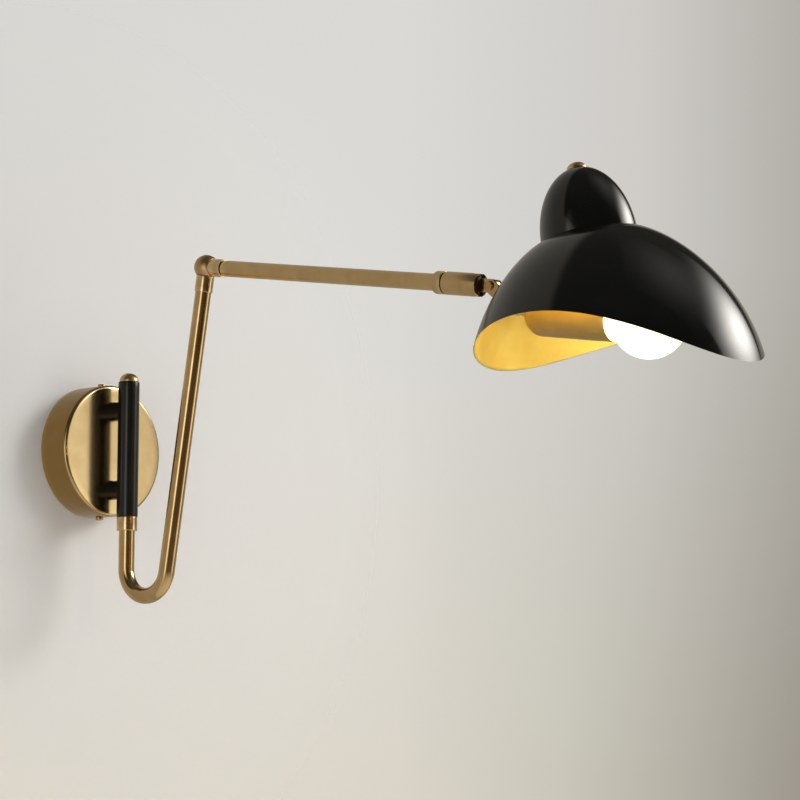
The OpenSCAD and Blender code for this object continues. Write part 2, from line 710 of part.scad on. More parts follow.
module knuckle_tongue() {
    start = sleeve_end - tongue_seat + 0.05;
    color(brass) difference() {
        union() {
            along_swivel(start) translate([-tongue_t / 2, -tongue_h / 2, 0])
                cube([tongue_t, tongue_h, pivot_reach - start]);
            along_swivel(pivot_reach) rotate([0, 90, 0]) cylinder(d = tongue_h, h = tongue_t, center = true);
        }
        along_swivel(pivot_reach) rotate([0, 90, 0])
            cylinder(d = pivot_d + 2 * run_fit, h = 2 * tongue_t, center = true);
        along_swivel(pin_at) rotate([0, 90, 0])
            cylinder(d = pin_d + 2 * seat_fit, h = 2 * tongue_t, center = true);
    }
}
module tongue_pin() {
    pin_start = -sleeve_r + 3.2;
    pin_end = sqrt(pow(sleeve_r, 2) - pow(pin_d / 2, 2)) - 0.1;
    color(zinc) along_swivel(pin_at) translate([pin_start, 0, 0]) rotate([0, 90, 0])
        cylinder(d = pin_d, h = pin_end - pin_start);
}

// Head: the fork, the nipple that passes the shade and the tube to the cup
module fork_cheek(side) {
    in_head([0, 0], stem_angle) translate([side > 0 ? cheek_in : -cheek_out, 0, 0]) {
        rotate([0, 90, 0]) cylinder(d = tongue_h, h = cheek_t);
        translate([0, -root_r, 0]) cube([cheek_t, tongue_h, root_start + 1]);
    }
}
module shade_fork() {
    lead_bore = stem_bore_d + 2 * step;
    color(brass) difference() {
        union() {
            for (side = [-1, 1]) fork_cheek(side);
            in_head([0, 0], stem_angle) translate([0, 0, root_start]) intersection() {
                translate([-cheek_out, -root_r, 0]) cube([2 * cheek_out, tongue_h, root_len]);
                cylinder(r = root_r + 1.6, h = root_len);
            }
            in_head([0, 0], stem_angle) translate([0, 0, root_start + 1])
                cylinder(d = stem_boss_d, h = stem_lead - root_start - 1 + lap);
            in_head(lead_end, stem_angle) bent_rod(stem_d, stem_bend_r, stem_angle - entry_angle);
            in_head(entry_start, entry_angle) translate([0, 0, -lap])
                cylinder(d = stem_boss_d, h = fork_boss + lap);
        }
        in_head([0, 0], stem_angle) translate([0, 0, root_start - 1])
            cylinder(d = lead_bore, h = stem_lead - root_start + 1 + lap);
        in_head(lead_end, stem_angle) bent_rod(stem_bore_d, stem_bend_r, stem_angle - entry_angle);
        in_head(entry_start, entry_angle) translate([0, 0, -2 * lap])
            cylinder(d = entry_nipple_d + 2 * seat_fit, h = entry_len);
        in_head([0, 0]) rotate([0, 90, 0])
            cylinder(d = pivot_d + 2 * seat_fit, h = 4 * cheek_out, center = true);
    }
}
module entry_nipple() {
    color(zinc) in_head(entry_start, entry_angle) translate([0, 0, 0.6])
        ring(entry_nipple_d, entry_bore_d, entry_len - 0.8);
}
module cup_tube() {
    straight = cup_start - stem_end[0] + nipple_in;
    color(brass) difference() {
        union() {
            in_head(entry_tube_start, entry_angle) cylinder(d = stem_boss_d, h = entry_len - tube_from + lap);
            in_head(entry_end, entry_angle) bent_rod(stem_d, stem_bend_r, entry_angle);
            in_head(stem_end) translate([0, 0, -lap]) cylinder(d = stem_d - step, h = straight + lap);
        }
        in_head(entry_end, entry_angle) bent_rod(stem_bore_d, stem_bend_r, entry_angle);
        in_head(stem_end) translate([0, 0, -lap]) cylinder(d = stem_bore_d - step, h = straight + 1);
        in_head(entry_tube_start, entry_angle) translate([0, 0, -1])
            cylinder(d = entry_nipple_d + 2 * seat_fit, h = entry_len - tube_from + 1 + lap);
    }
}
module pivot_washers() {
    for (side = [-1, 1]) color(fibre)
        in_head([0, 0]) translate([side * (tongue_t / 2 + washer_t / 2), 0, 0]) rotate([0, 90, 0])
            difference() {
                cylinder(d = tongue_h - 1, h = washer_t - 0.04, center = true);
                cylinder(d = pivot_d + 2 * run_fit, h = 4, center = true);
            }
}
module pivot_screw() {
    head_h = 2;
    color(brass_light) in_head([0, 0]) rotate([0, -90, 0]) {
        translate([0, 0, cheek_out + 0.03]) difference() {
            screw_head(pivot_head_d, head_h);
            translate([-pivot_head_d, -0.5, head_h - 0.9]) cube([2 * pivot_head_d, 1, 2]);
        }
        translate([0, 0, -cheek_out - 2.4]) cylinder(d = pivot_d, h = 2 * cheek_out + 2.9);
    }
}
module pivot_nut() {
    nut_h = 3;
    crown = [for (i = [0:6]) [pivot_head_d / 2 * cos(i * 15), 0.8 + (nut_h - 0.8) * sin(i * 15)]];
    color(brass_light) in_head([0, 0]) rotate([0, 90, 0]) translate([0, 0, cheek_out + 0.03]) difference() {
        rotate_extrude() polygon(concat([[0, 0], [pivot_head_d / 2, 0]], crown));
        translate([0, 0, -1]) cylinder(d = pivot_d + 2 * seat_fit, h = 3.4);
    }
}
module stem_flex() {
    flex_bend_r = 54;
    straight = -cup_drop / sin(stem_angle) - flex_bend_r * tan(stem_angle / 2);
    bend_from = straight * [cos(stem_angle), -sin(stem_angle)];
    bend_to = bend_from[0] + flex_bend_r * sin(stem_angle);
    color(nylon) {
        in_head([root_start * cos(stem_angle), -root_start * sin(stem_angle)], stem_angle)
            cylinder(d = flex_d - step, h = straight - root_start + lap);
        in_head(bend_from, stem_angle) bent_rod(flex_d, flex_bend_r, stem_angle);
        in_head([bend_to - lap, cup_drop])
            cylinder(d = flex_d - step, h = cup_start + nipple_in + 1 - bend_to);
    }
}
module outer_clamp_ring() {
    color(brass_light) in_head(entry_mid, entry_angle) translate([0, 0, -ring_gap - ring_t])
        ring(clamp_ring_d, entry_nipple_d + 2 * seat_fit, ring_t);
}
module inner_clamp_ring() {
    color(gold) in_head(entry_mid, entry_angle) translate([0, 0, inner_ring_gap])
        ring(inner_ring_d, entry_nipple_d + 2 * seat_fit, inner_ring_t);
}
module clamp_nut() {
    color(gold) in_head(entry_mid, entry_angle) translate([0, 0, clamp_nut_gap])
        hex_nut(clamp_nut_af, entry_nipple_d + 2 * seat_fit, clamp_nut_t);
}
module shade() {
    du = 90 / flare_steps;
    dv = 90 / dome_steps;
    outer = concat(
        [for (i = [dome_steps:-1:0]) dome_point(i * dv)],
        [for (i = [1:flare_steps]) [flare_x(i * du), flare_z(i * du)]]);
    inner = concat(
        [for (i = [flare_steps:-1:1]) [flare_x(i * du), flare_z(i * du)] - shade_wall * flare_normal(i * du)],
        [[crease_r - shade_wall, -shade_wall]],
        [for (i = [1:dome_steps - 1]) dome_point(i * dv) - shade_wall * dome_normal(i * dv)],
        [[0, dome_h - shade_wall]]);
    color(gloss_black) difference() {
        in_shade() rotate_extrude($fn = 128) polygon(concat(outer, inner));
        in_shade() translate([0, saddle_back, -saddle_rise - saddle_r]) rotate([0, 90, 0])
            cylinder(r = saddle_r, h = 3 * mouth_r, center = true, $fn = 180);
        in_head(entry_mid, entry_angle) cylinder(d = entry_nipple_d + 2 * screw_fit, h = 12, center = true);
        in_shade() cylinder(d = finial_stud_d + 2 * screw_fit, h = 2 * dome_h);
    }
}
module shade_finial() {
    foot = 0.12;
    crown = [for (i = [0:8]) [finial_d / 2 * cos(i * 11.25), 1.5 + (finial_h - 1.5) * sin(i * 11.25)]];
    color(brass_light) in_shade() translate([0, 0, dome_h + foot]) {
        rotate_extrude() polygon(concat([[0, 0], [finial_d / 2 - 0.4, 0], [finial_d / 2, 0.4]], crown));
        translate([0, 0, -9]) cylinder(d = finial_stud_d, h = 9.5);
    }
}
module finial_nut() {
    sag = pow(finial_nut_af / 2 / cos(30), 2) / (2 * (pow(crease_r, 2) / dome_h - shade_wall));
    color(gold) in_shade() translate([0, 0, dome_h - shade_wall - sag - 0.15 - finial_nut_t])
        hex_nut(finial_nut_af, finial_stud_d + 2 * seat_fit, finial_nut_t);
}
module neck_nut() {
    color(fibre) in_head([stem_end[0] + 0.2, cup_drop]) ring(15, stem_d + 2 * seat_fit, neck_nut_t);
}
module cup_nut() {
    color(zinc) in_cup(cup_wall + 0.3) hex_nut(13, stem_d + 2 * seat_fit, 3);
}
module lampholder_cup() {
    flat_r = cup_r - cup_round;
    round_in = cup_round - cup_wall;
    outer = [for (i = [0:9]) [flat_r + cup_round * sin(i * 10), cup_round - cup_round * cos(i * 10)]];
    inner = [for (i = [9:-1:0]) [flat_r + round_in * sin(i * 10), cup_round - round_in * cos(i * 10)]];
    color(gold) in_cup() difference() {
        rotate_extrude() polygon(concat(
            [[0, 0]], outer, [[cup_r, cup_len], [cup_r - cup_wall, cup_len]], inner, [[0, cup_wall]]));
        translate([0, 0, -1]) cylinder(d = stem_d + 2 * seat_fit, h = cup_wall + 2);
    }
}
module lampholder_body() {
    waist_r = cup_r - cup_round - 2;
    color(nylon) in_cup(holder_start) difference() {
        rotate_extrude() polygon([
            [0, 0], [waist_r + 4, 0], [holder_d / 2, 12], [holder_d / 2, holder_len - 1],
            [holder_d / 2 - 1, holder_len], [0, holder_len]]);
        translate([0, 0, -1]) cylinder(d = stem_d + 2 * seat_fit, h = 12);
        translate([0, 0, 18]) cylinder(d = shell_d + 2 * shell_t + 2 * seat_fit, h = holder_len);
        translate([0, 0, 5]) cylinder(d = 7, h = 20);
    }
}
module thread_shell() {
    color(brass_light) in_cup(holder_start + 22)
        ring(shell_d + 2 * shell_t, shell_d, holder_len - 23);
}
module centre_contact() {
    color(brass_light) in_cup(holder_start + 18.1) {
        translate([-3, -7, 0]) cube([6, 14, 0.8]);
        translate([0, 0, 0.4]) cylinder(d = 4, h = bulb_set - holder_start - 18.1 - 0.5);
    }
}
module bulb_cap() {
    cone_h = 4;
    color(zinc) in_cup(bulb_set) {
        rotate_extrude() polygon([
            [0, 0], [4.5, 0], [5, 1], [bulb_cap_d / 2 - 1, cone_h], [bulb_cap_d / 2, cone_h + 1.5],
            [bulb_cap_d / 2, bulb_cap_len], [0, bulb_cap_len]]);
    }
}
// Points of the bulb's side, drawn in from the outer surface by t
function bulb_side(t) = concat(
    [for (i = [0:8]) let (a = neck_turn * i / 8)
        [bulb_neck_r + neck_fillet - (neck_fillet + t) * cos(a),
         bulb_mid - neck_run + (neck_fillet + t) * sin(a)]],
    [for (i = [1:20]) let (a = -neck_turn + (90 + neck_turn) * i / 20)
        [(bulb_r - t) * cos(a), bulb_mid + (bulb_r - t) * sin(a)]]);
function reversed(list) = [for (i = [len(list) - 1:-1:0]) list[i]];
module bulb_globe() {
    foot = bulb_cap_len + 0.02;
    color("white") in_cup(bulb_set) rotate_extrude() polygon(concat(
        [[bulb_neck_r - glass_t, foot], [bulb_neck_r, foot]],
        bulb_side(0), reversed(bulb_side(glass_t))));
}

wall_bracket();
canopy();
side_screws();
terminal_block();
earth_screw();
upper_post();
lower_post();
post_washers();
post_nuts();
barrel();
upper_bush();
lower_bush();
base_flex();
cap_washer();
barrel_cap();
swing_spindle();
collar_washer();
bottom_collar();
lower_arm_tube();
elbow_ferrule();
elbow_spindle();
elbow_nut();
elbow_washer();
lower_flex();
elbow_ball();
arm_nipple();
arm_plug();
upper_arm_tube();
arm_end_collar();
swivel_spindle();
swivel_nut();
swivel_washer();
upper_flex();
swivel_sleeve();
knuckle_tongue();
tongue_pin();
shade_fork();
entry_nipple();
cup_tube();
pivot_washers();
pivot_screw();
pivot_nut();
stem_flex();
outer_clamp_ring();
inner_clamp_ring();
clamp_nut();
shade();
shade_finial();
finial_nut();
neck_nut();
cup_nut();
lampholder_cup();
lampholder_body();
thread_shell();
centre_contact();
bulb_cap();
bulb_globe();
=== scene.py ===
# %% [markdown]
# # An articulated wall lamp
# The lamp has a round brass canopy on the wall, a black barrel on two posts, a J-shaped arm that
# swings in the barrel, a straight arm on a ball elbow, and a black shade with a gold inside.
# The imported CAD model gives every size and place, so each piece made here lands on it with no
# fitting. The lengths of pieces are in millimetres and turn to metres when a mesh is made.

# %% Load the frame
import json
import math

import bmesh
import bpy
import numpy as np
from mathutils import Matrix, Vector

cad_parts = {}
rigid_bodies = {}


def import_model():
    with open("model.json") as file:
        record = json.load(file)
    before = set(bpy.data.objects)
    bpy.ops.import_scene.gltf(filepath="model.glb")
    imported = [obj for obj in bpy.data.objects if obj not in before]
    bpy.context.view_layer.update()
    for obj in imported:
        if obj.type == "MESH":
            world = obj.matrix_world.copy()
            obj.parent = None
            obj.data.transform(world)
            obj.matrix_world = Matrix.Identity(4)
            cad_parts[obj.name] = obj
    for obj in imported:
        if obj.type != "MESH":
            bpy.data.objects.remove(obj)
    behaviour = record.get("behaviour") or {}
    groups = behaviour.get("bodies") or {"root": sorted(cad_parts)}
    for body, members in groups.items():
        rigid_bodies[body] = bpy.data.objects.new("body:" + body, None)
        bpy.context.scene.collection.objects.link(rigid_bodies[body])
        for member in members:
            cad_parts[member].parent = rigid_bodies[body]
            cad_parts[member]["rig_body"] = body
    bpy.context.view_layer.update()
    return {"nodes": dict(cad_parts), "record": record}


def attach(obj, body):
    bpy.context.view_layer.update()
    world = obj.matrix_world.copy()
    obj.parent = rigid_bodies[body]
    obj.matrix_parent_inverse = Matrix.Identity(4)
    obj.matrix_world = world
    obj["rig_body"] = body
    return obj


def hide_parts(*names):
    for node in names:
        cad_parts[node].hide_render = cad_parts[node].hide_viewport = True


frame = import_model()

MM = 0.001

# %% [markdown]
# ## The camera
# The picture was taken from the lamp's left and from a little below it, with a long lens.
# The place was found by fitting a pinhole camera to the canopy's ellipse and to the two arms.

# %% Camera
CAMERA_AT = (-1.52511, -1.60807, -0.24151)
CAMERA_YAW = 50.89
CAMERA_UP = 7.54
LENS = 108.0
SENSOR = 36.0

scene = bpy.context.scene
camera_data = bpy.data.cameras.new("photo_camera")
camera_data.lens = LENS
camera_data.sensor_width = SENSOR
camera = bpy.data.objects.new("photo_camera", camera_data)
camera.location = CAMERA_AT
camera.rotation_euler = (math.radians(90 + CAMERA_UP), 0, math.radians(-CAMERA_YAW))
scene.collection.objects.link(camera)
scene.camera = camera
scene.view_settings.view_transform = "Standard"
print("lens", LENS, "mm, camera", CAMERA_AT)

# %% [markdown]
# ## Places
# A piece is shaped where it is easy, round its own Z axis, and then a matrix carries it to its
# place. The same few turns and shifts are used that the CAD model uses, so the lines of the arm,
# of the swivel, of the stem and of the shade are the same lines.

# %% Turns and shifts
def shift(x, y, z):
    """A 4 by 4 matrix that moves a point by x, y and z."""
    m = np.eye(4)
    m[:3, 3] = x, y, z
    return m


def turn(axis, degrees):
    """A 4 by 4 matrix that turns a point about one axis, counter-clockwise seen from its tip."""
    c, s = math.cos(math.radians(degrees)), math.sin(math.radians(degrees))
    i, j = {"X": (1, 2), "Y": (2, 0), "Z": (0, 1)}[axis]
    m = np.eye(4)
    m[i, i], m[i, j], m[j, i], m[j, j] = c, -s, s, c
    return m


print("a quarter turn about X takes Y to", np.round(turn("X", 90) @ [0, 1, 0, 1])[:3])

# %% Sizes that the places need
# Angles are in degrees. The head is rolled a little about the arm in the photograph.
BARREL_Y = 50.0
LEAN = 9.5
ELBOW = (0.0, -146.0, 156.5)
HEAD_ROLL = 3.0
PIVOT_REACH = 323.6
STEM_ANGLE = 35.0
STEM_LEAD = 17.2
STEM_BEND = 22.0
ENTRY_LEN = 12.8
SHADE_TILT = 19.0

OUT_OF_WALL = turn("X", 90)
ON_BARREL = shift(0, -BARREL_Y, 0)
AT_ELBOW = shift(*ELBOW) @ turn("X", LEAN)
DOWN_LEG = AT_ELBOW @ turn("X", 180)
ALONG_ARM = AT_ELBOW @ turn("X", 90)
ALONG_SWIVEL = AT_ELBOW @ turn("Y", -HEAD_ROLL) @ turn("X", 90)


def in_head(out, up, angle=0.0):
    """A frame on the stem: out along the arm, up across it, and turned down by angle."""
    return ALONG_SWIVEL @ shift(0, up, PIVOT_REACH + out) @ turn("X", angle)


print("pivot at", np.round((in_head(0, 0) @ [0, 0, 0, 1])[:3], 1))

# %% [markdown]
# ## The shade's profile
# The real shade is spun from sheet over a form: a half-egg dome, a crease, and a flare that
# opens like a bell. The flare is a power of a sine, so it leaves the crease flat and ends steep.
# The stem crosses the wall square to it, which fixes the angle of the stem and the shade's place.

# %% Profile of the shade
CREASE_R = 38.0
DOME_H = 57.5
MOUTH_R = 116.5
FLARE_DEPTH = 132.0
FULLNESS = 1.48
SHADE_WALL = 1.2
SADDLE_R = 207.0
SADDLE_RISE = 66.0
SADDLE_BACK = 34.0
ENTRY_DEPTH = 32.6


def flare(u):
    """Radius and height on the flare at angle u: the radius grows with sin(u) to a power, and the
    height falls as 1 - cos(u)."""
    radius = CREASE_R + (MOUTH_R - CREASE_R) * np.sin(u) ** FULLNESS
    return radius, -FLARE_DEPTH * (1 - np.cos(u))


def flare_normal(u):
    """Outward unit normal of the flare: its tangent turned by a quarter turn."""
    du = (MOUTH_R - CREASE_R) * FULLNESS * np.sin(u) ** (FULLNESS - 1) * np.cos(u)
    dz = -FLARE_DEPTH * np.sin(u)
    size = np.hypot(du, dz)
    return -dz / size, du / size


entry_u = math.acos(1 - ENTRY_DEPTH / FLARE_DEPTH)
entry_n = flare_normal(entry_u)
ENTRY_ANGLE = math.degrees(math.atan2(entry_n[1], entry_n[0])) - SHADE_TILT


def stem_dir(angle):
    """Direction of the stem in the head plane, out and up, at an angle below the arm's line."""
    a = math.radians(angle)
    return np.array([math.cos(a), -math.sin(a)])


def bend_run(start, end):
    """How far a bend goes out and up while it turns from one angle to the other."""
    a, b = math.radians(start), math.radians(end)
    return STEM_BEND * np.array([math.sin(a) - math.sin(b), -(math.cos(b) - math.cos(a))])


lead_end = STEM_LEAD * stem_dir(STEM_ANGLE)
entry_start = lead_end + bend_run(STEM_ANGLE, ENTRY_ANGLE)
entry_mid = entry_start + ENTRY_LEN / 2 * stem_dir(ENTRY_ANGLE)
entry_end = entry_start + ENTRY_LEN * stem_dir(ENTRY_ANGLE)
stem_end = entry_end + bend_run(ENTRY_ANGLE, 0)
entry_r, entry_z = flare(entry_u)
tilt = math.radians(SHADE_TILT)
shade_at = (entry_mid
            + (entry_r - SHADE_WALL / 2 * entry_n[0]) * np.array([math.cos(tilt), math.sin(tilt)])
            - (entry_z - SHADE_WALL / 2 * entry_n[1]) * np.array([-math.sin(tilt), math.cos(tilt)]))
IN_SHADE = in_head(*shade_at) @ turn("X", -90 - SHADE_TILT)
NUT_LEN = 2.3
CUP_START = stem_end[0] + NUT_LEN
IN_CUP = in_head(CUP_START, stem_end[1])
print("stem crosses the wall at", round(ENTRY_ANGLE, 2), "degrees")
print("cup starts", round(CUP_START, 1), "mm out")

# %% [markdown]
# ## Making a surface
# A turned part is a profile carried round an axis, and a tube is a circle carried along a line.
# Both are a grid of points, so one function turns any grid into a mesh. It also writes a UV map
# in metres, along the profile and round it, and an attribute named edge that is 1 at the sharp
# corners of a profile, where fingers and cloths polish a real part.

# %% From a grid of points to a piece
SMOOTH_UP_TO = math.radians(50)
DOUBLED = 1e-7


def make_piece(name, grid, along, around, place, edge=None, face_slots=None):
    """Joins rows and columns of points by quads, and the last column to the first. The UV of a
    corner is its distance along and around, in metres. Doubled points at a pole are merged."""
    rows, cols = grid.shape[:2]
    points = np.c_[grid.reshape(-1, 3), np.ones(rows * cols)] @ place.T
    r, c = np.meshgrid(np.arange(rows - 1), np.arange(cols), indexing="ij")
    here, beside = r * cols + c, r * cols + (c + 1) % cols
    faces = np.stack([here, beside, beside + cols, here + cols], -1).reshape(-1, 4)
    mesh = bpy.data.meshes.new(name)
    mesh.vertices.add(len(points))
    mesh.vertices.foreach_set("co", (points[:, :3] * MM).ravel())
    mesh.loops.add(faces.size)
    mesh.loops.foreach_set("vertex_index", faces.ravel().astype(np.int32))
    mesh.polygons.add(len(faces))
    mesh.polygons.foreach_set("loop_start", np.arange(0, faces.size, 4, dtype=np.int32))
    mesh.polygons.foreach_set("use_smooth", np.ones(len(faces), dtype=bool))
    if face_slots is not None:
        mesh.polygons.foreach_set("material_index", np.repeat(face_slots, cols).astype(np.int32))
    mesh.update()
    if edge is None:
        edge = np.zeros(rows)
    worn = mesh.attributes.new("edge", "FLOAT", "POINT")
    worn.data.foreach_set("value", np.repeat(edge, cols).astype(np.float32))
    uv = mesh.uv_layers.new(name="surface")
    loop_u = along[np.stack([r, r, r + 1, r + 1], -1)] * MM
    loop_v = around[np.stack([c, c + 1, c + 1, c], -1)] * MM
    uv.data.foreach_set("uv", np.stack([loop_u, loop_v], -1).ravel().astype(np.float32))
    shape = bmesh.new()
    shape.from_mesh(mesh)
    bmesh.ops.remove_doubles(shape, verts=shape.verts, dist=DOUBLED)
    bmesh.ops.recalc_face_normals(shape, faces=shape.faces)
    shape.to_mesh(mesh)
    shape.free()
    mesh.set_sharp_from_angle(angle=SMOOTH_UP_TO)
    piece = bpy.data.objects.new(name, mesh)
    scene.collection.objects.link(piece)
    return piece


def round_corners(profile, radii, steps=4):
    """Each corner becomes a short curve: it leaves the corner's two sides at the given distance
    from the corner and bends between them as a parabola. Returns the points and how near each is to
    a corner."""
    p = np.asarray(profile, float)
    q = np.broadcast_to(np.asarray(radii, float), len(p)).copy()
    before, after = np.roll(p, 1, 0) - p, np.roll(p, -1, 0) - p
    size_b, size_a = (np.maximum(np.linalg.norm(v, axis=1), 1e-9) for v in (before, after))
    q = np.minimum(q, 0.45 * np.minimum(size_b, size_a))
    q[[0, -1]] = 0
    a = p + before / size_b[:, None] * q[:, None]
    b = p + after / size_a[:, None] * q[:, None]
    t = np.linspace(0, 1, steps)[None, :, None]
    curve = (1 - t) ** 2 * a[:, None] + 2 * t * (1 - t) * p[:, None] + t ** 2 * b[:, None]
    near = np.broadcast_to((q > 0)[:, None], (len(p), steps)).astype(float)
    keep = np.r_[True, np.linalg.norm(np.diff(curve.reshape(-1, 2), axis=0), axis=1) > 1e-6]
    return curve.reshape(-1, 2)[keep], near.reshape(-1)[keep]


LONGEST_STEP = 6.0
WEAR_BETWEEN = 0.25


def fine(points, near):
    """Splits every long step of a profile into equal short ones, and the edge value with it."""
    length = np.linalg.norm(np.diff(points, axis=0), axis=1)
    steps = np.maximum(1, np.ceil(length / LONGEST_STEP).astype(int))
    at = np.concatenate([i + np.arange(n) / n for i, n in enumerate(steps)] + [[len(points) - 1.0]])
    index = np.arange(len(points))
    both = np.c_[np.interp(at, index, points[:, 0]), np.interp(at, index, points[:, 1])]
    fade = np.interp(at, index, near)
    inside = (at % 1) > 0
    return both, np.where(inside, np.minimum(fade, WEAR_BETWEEN), fade)


def run(points):
    """How far each point of a line is from its start, along the line."""
    return np.r_[0, np.cumsum(np.linalg.norm(np.diff(points, axis=0), axis=1))]


def revolve(name, profile, place, radii=0.3, sides=96):
    """A profile of (radius, height) points turned round the Z axis: x = r cos(a), y = r sin(a),
    z = h. radii says how far each corner of the profile is rounded."""
    points, near = fine(*round_corners(profile, radii))
    angle = np.linspace(0, 2 * math.pi, sides, endpoint=False)
    grid = np.stack([points[:, :1] * np.cos(angle), points[:, :1] * np.sin(angle),
                     np.repeat(points[:, 1:], sides, 1)], -1)
    around = np.linspace(0, 2 * math.pi, sides + 1) * points[:, 0].max()
    return make_piece(name, grid, run(points), around, place, near)


# %% [markdown]
# ## Nodes that a material is built from
# One small function adds a node, sets its values and plugs in what it reads, and a few more make
# the steps that come back in every material. Every colour below is written the way a picture
# editor shows it and is turned to the linear scale by one function.

# %% Node helpers and colour helper
def plug(tree, node, reads):
    """Gives each named input of a node a number, a colour or the output of another node."""
    for key, value in reads.items():
        if isinstance(value, bpy.types.NodeSocket):
            tree.links.new(value, node.inputs[key])
        else:
            node.inputs[key].default_value = value


def add(tree, kind, reads=None, **values):
    """Adds a node of a kind: values are its own settings, and reads is what its inputs read."""
    node = tree.nodes.new("ShaderNode" + kind)
    for key, value in values.items():
        setattr(node, key, value)
    plug(tree, node, reads or {})
    return node


def maths(tree, operation, *values):
    """One step of arithmetic on numbers or outputs of other nodes."""
    return add(tree, "Math", dict(enumerate(values)), operation=operation).outputs[0]


def rise(tree, value, low, high, **how):
    """How far a value has come from low to high, from 0 to 1."""
    reads = {"Value": value, "From Min": low, "From Max": high}
    return add(tree, "MapRange", reads, **how).outputs["Result"]


def scaled(tree, factor, low, high):
    """A number that goes from low to high while the factor goes from 0 to 1."""
    return add(tree, "MapRange", {"Value": factor, "To Min": low, "To Max": high}).outputs["Result"]


def mixed(tree, factor, a, b, blend="MIX"):
    """The first colour where the factor is 0 and the second where it is 1."""
    reads = {"Factor": factor, "A": a, "B": b}
    return add(tree, "Mix", reads, data_type="RGBA", blend_type=blend).outputs["Result"]


def noise(tree, where, size, detail, rough=0.5):
    """Noise from 0 to 1 whose grains have the given size."""
    reads = {"Vector": where, "Scale": 1 / size, "Detail": detail, "Roughness": rough}
    return add(tree, "TexNoise", reads).outputs["Fac"]


def bump(tree, height, strength, distance):
    """The normal of a surface that a height from 0 to 1 lifts by up to the distance in metres."""
    reads = {"Height": height, "Strength": strength, "Distance": distance}
    return add(tree, "Bump", reads).outputs["Normal"]


def colour(code):
    """An sRGB hex code as linear red, green, blue and 1: c / 12.92 near black, and elsewhere
    ((c + 0.055) / 1.055) ** 2.4."""
    c = np.array([int(code[i:i + 2], 16) for i in (1, 3, 5)]) / 255
    return tuple(np.where(c <= 0.04045, c / 12.92, ((c + 0.055) / 1.055) ** 2.4)) + (1.0,)


def new_material(name):
    """A material with only a shader and its output, with its tree and the shader."""
    material = bpy.data.materials.new(name)
    material.use_nodes = True
    tree = material.node_tree
    tree.nodes.clear()
    shader = add(tree, "BsdfPrincipled")
    add(tree, "OutputMaterial", {"Surface": shader.outputs["BSDF"]})
    print("material:", name)
    return material, tree, shader


def ramp(tree, factor, stops):
    """A colour ramp: stops is a list of (position, hex colour) pairs, read by a factor."""
    node = add(tree, "ValToRGB", {"Fac": factor})
    elements = node.color_ramp.elements
    while len(elements) < len(stops):
        elements.new(0.5)
    for element, (place, code) in zip(elements, stops):
        element.position = place
        element.color = colour(code)
    return node.outputs["Color"]


print("#808080 is", round(float(colour("#808080")[0]), 3), "on the linear scale")

# %% [markdown]
# ## Antique brass
# The arms, the elbow and the stem are brass tube that was aged to a warm brown, rubbed back with
# a fine pad and lacquered. Rubbing leaves hair-fine lines along the tube, and handling brightens
# the edges. The lines are about 0.3 mm apart here, coarser than the real ones, so that they show.

# %% Brass, aged and rubbed
LINE_PITCH = 0.3 * MM
LINE_STRETCH = 40
LINE_HEIGHT = 0.004 * MM
CLOUD_SIZE = 14 * MM
FACE_EDGE = (-31.5 * MM, -28.5 * MM)


def brass(name, dark, mid, light, worn, rough, lines_along=None, line_depth=0.25, side=None):
    """Brass whose colour drifts in soft clouds, with fine lines and brighter edges. The lines
    follow the UV, or the named axis of the room. side is a darker tint multiplied in behind the
    canopy's face: painted shade, standing for the shadowed wall that the canopy's side mirrors."""
    material, tree, shader = new_material(name)
    stretch = np.full(3, 1 / LINE_PITCH)
    stretch["XYZ".index(lines_along or "X")] /= LINE_STRETCH
    where = add(tree, "TexCoord").outputs["Object" if lines_along else "UV"]
    lines_at = add(tree, "Mapping", {"Vector": where, "Scale": tuple(stretch)})
    lines = noise(tree, lines_at.outputs["Vector"], 1.0, 3.0)
    solid = add(tree, "TexCoord").outputs["Object"]
    clouds = noise(tree, solid, CLOUD_SIZE, 4.0, 0.55)
    base = ramp(tree, clouds, [(0.3, dark), (0.5, mid), (0.72, light)])
    edge = add(tree, "Attribute", attribute_name="edge").outputs["Fac"]
    final = mixed(tree, edge, base, colour(worn))
    # The side tint is painted shade on the canopy's side, and it fades in behind the face.
    if side:
        behind = rise(tree, add(tree, "SeparateXYZ", {0: solid}).outputs["Y"], *FACE_EDGE)
        final = mixed(tree, behind, final, colour(side), "MULTIPLY")
    plug(tree, shader, {
        "Base Color": final, "Metallic": 1.0, "Coat Weight": 0.25, "Coat Roughness": 0.12,
        "Roughness": scaled(tree, lines, rough * 0.8, rough * 1.25),
        "Normal": bump(tree, lines, line_depth, LINE_HEIGHT)})
    return material


AGED = ("#C8A570", "#D1AF7A", "#DAB986", "#E6CA98")
antique_brass = brass("Antique brass, rubbed and lacquered", *AGED, 0.16)
antique_brass_small = brass("Antique brass, small turned parts", *AGED, 0.17, "Y", 0.15)
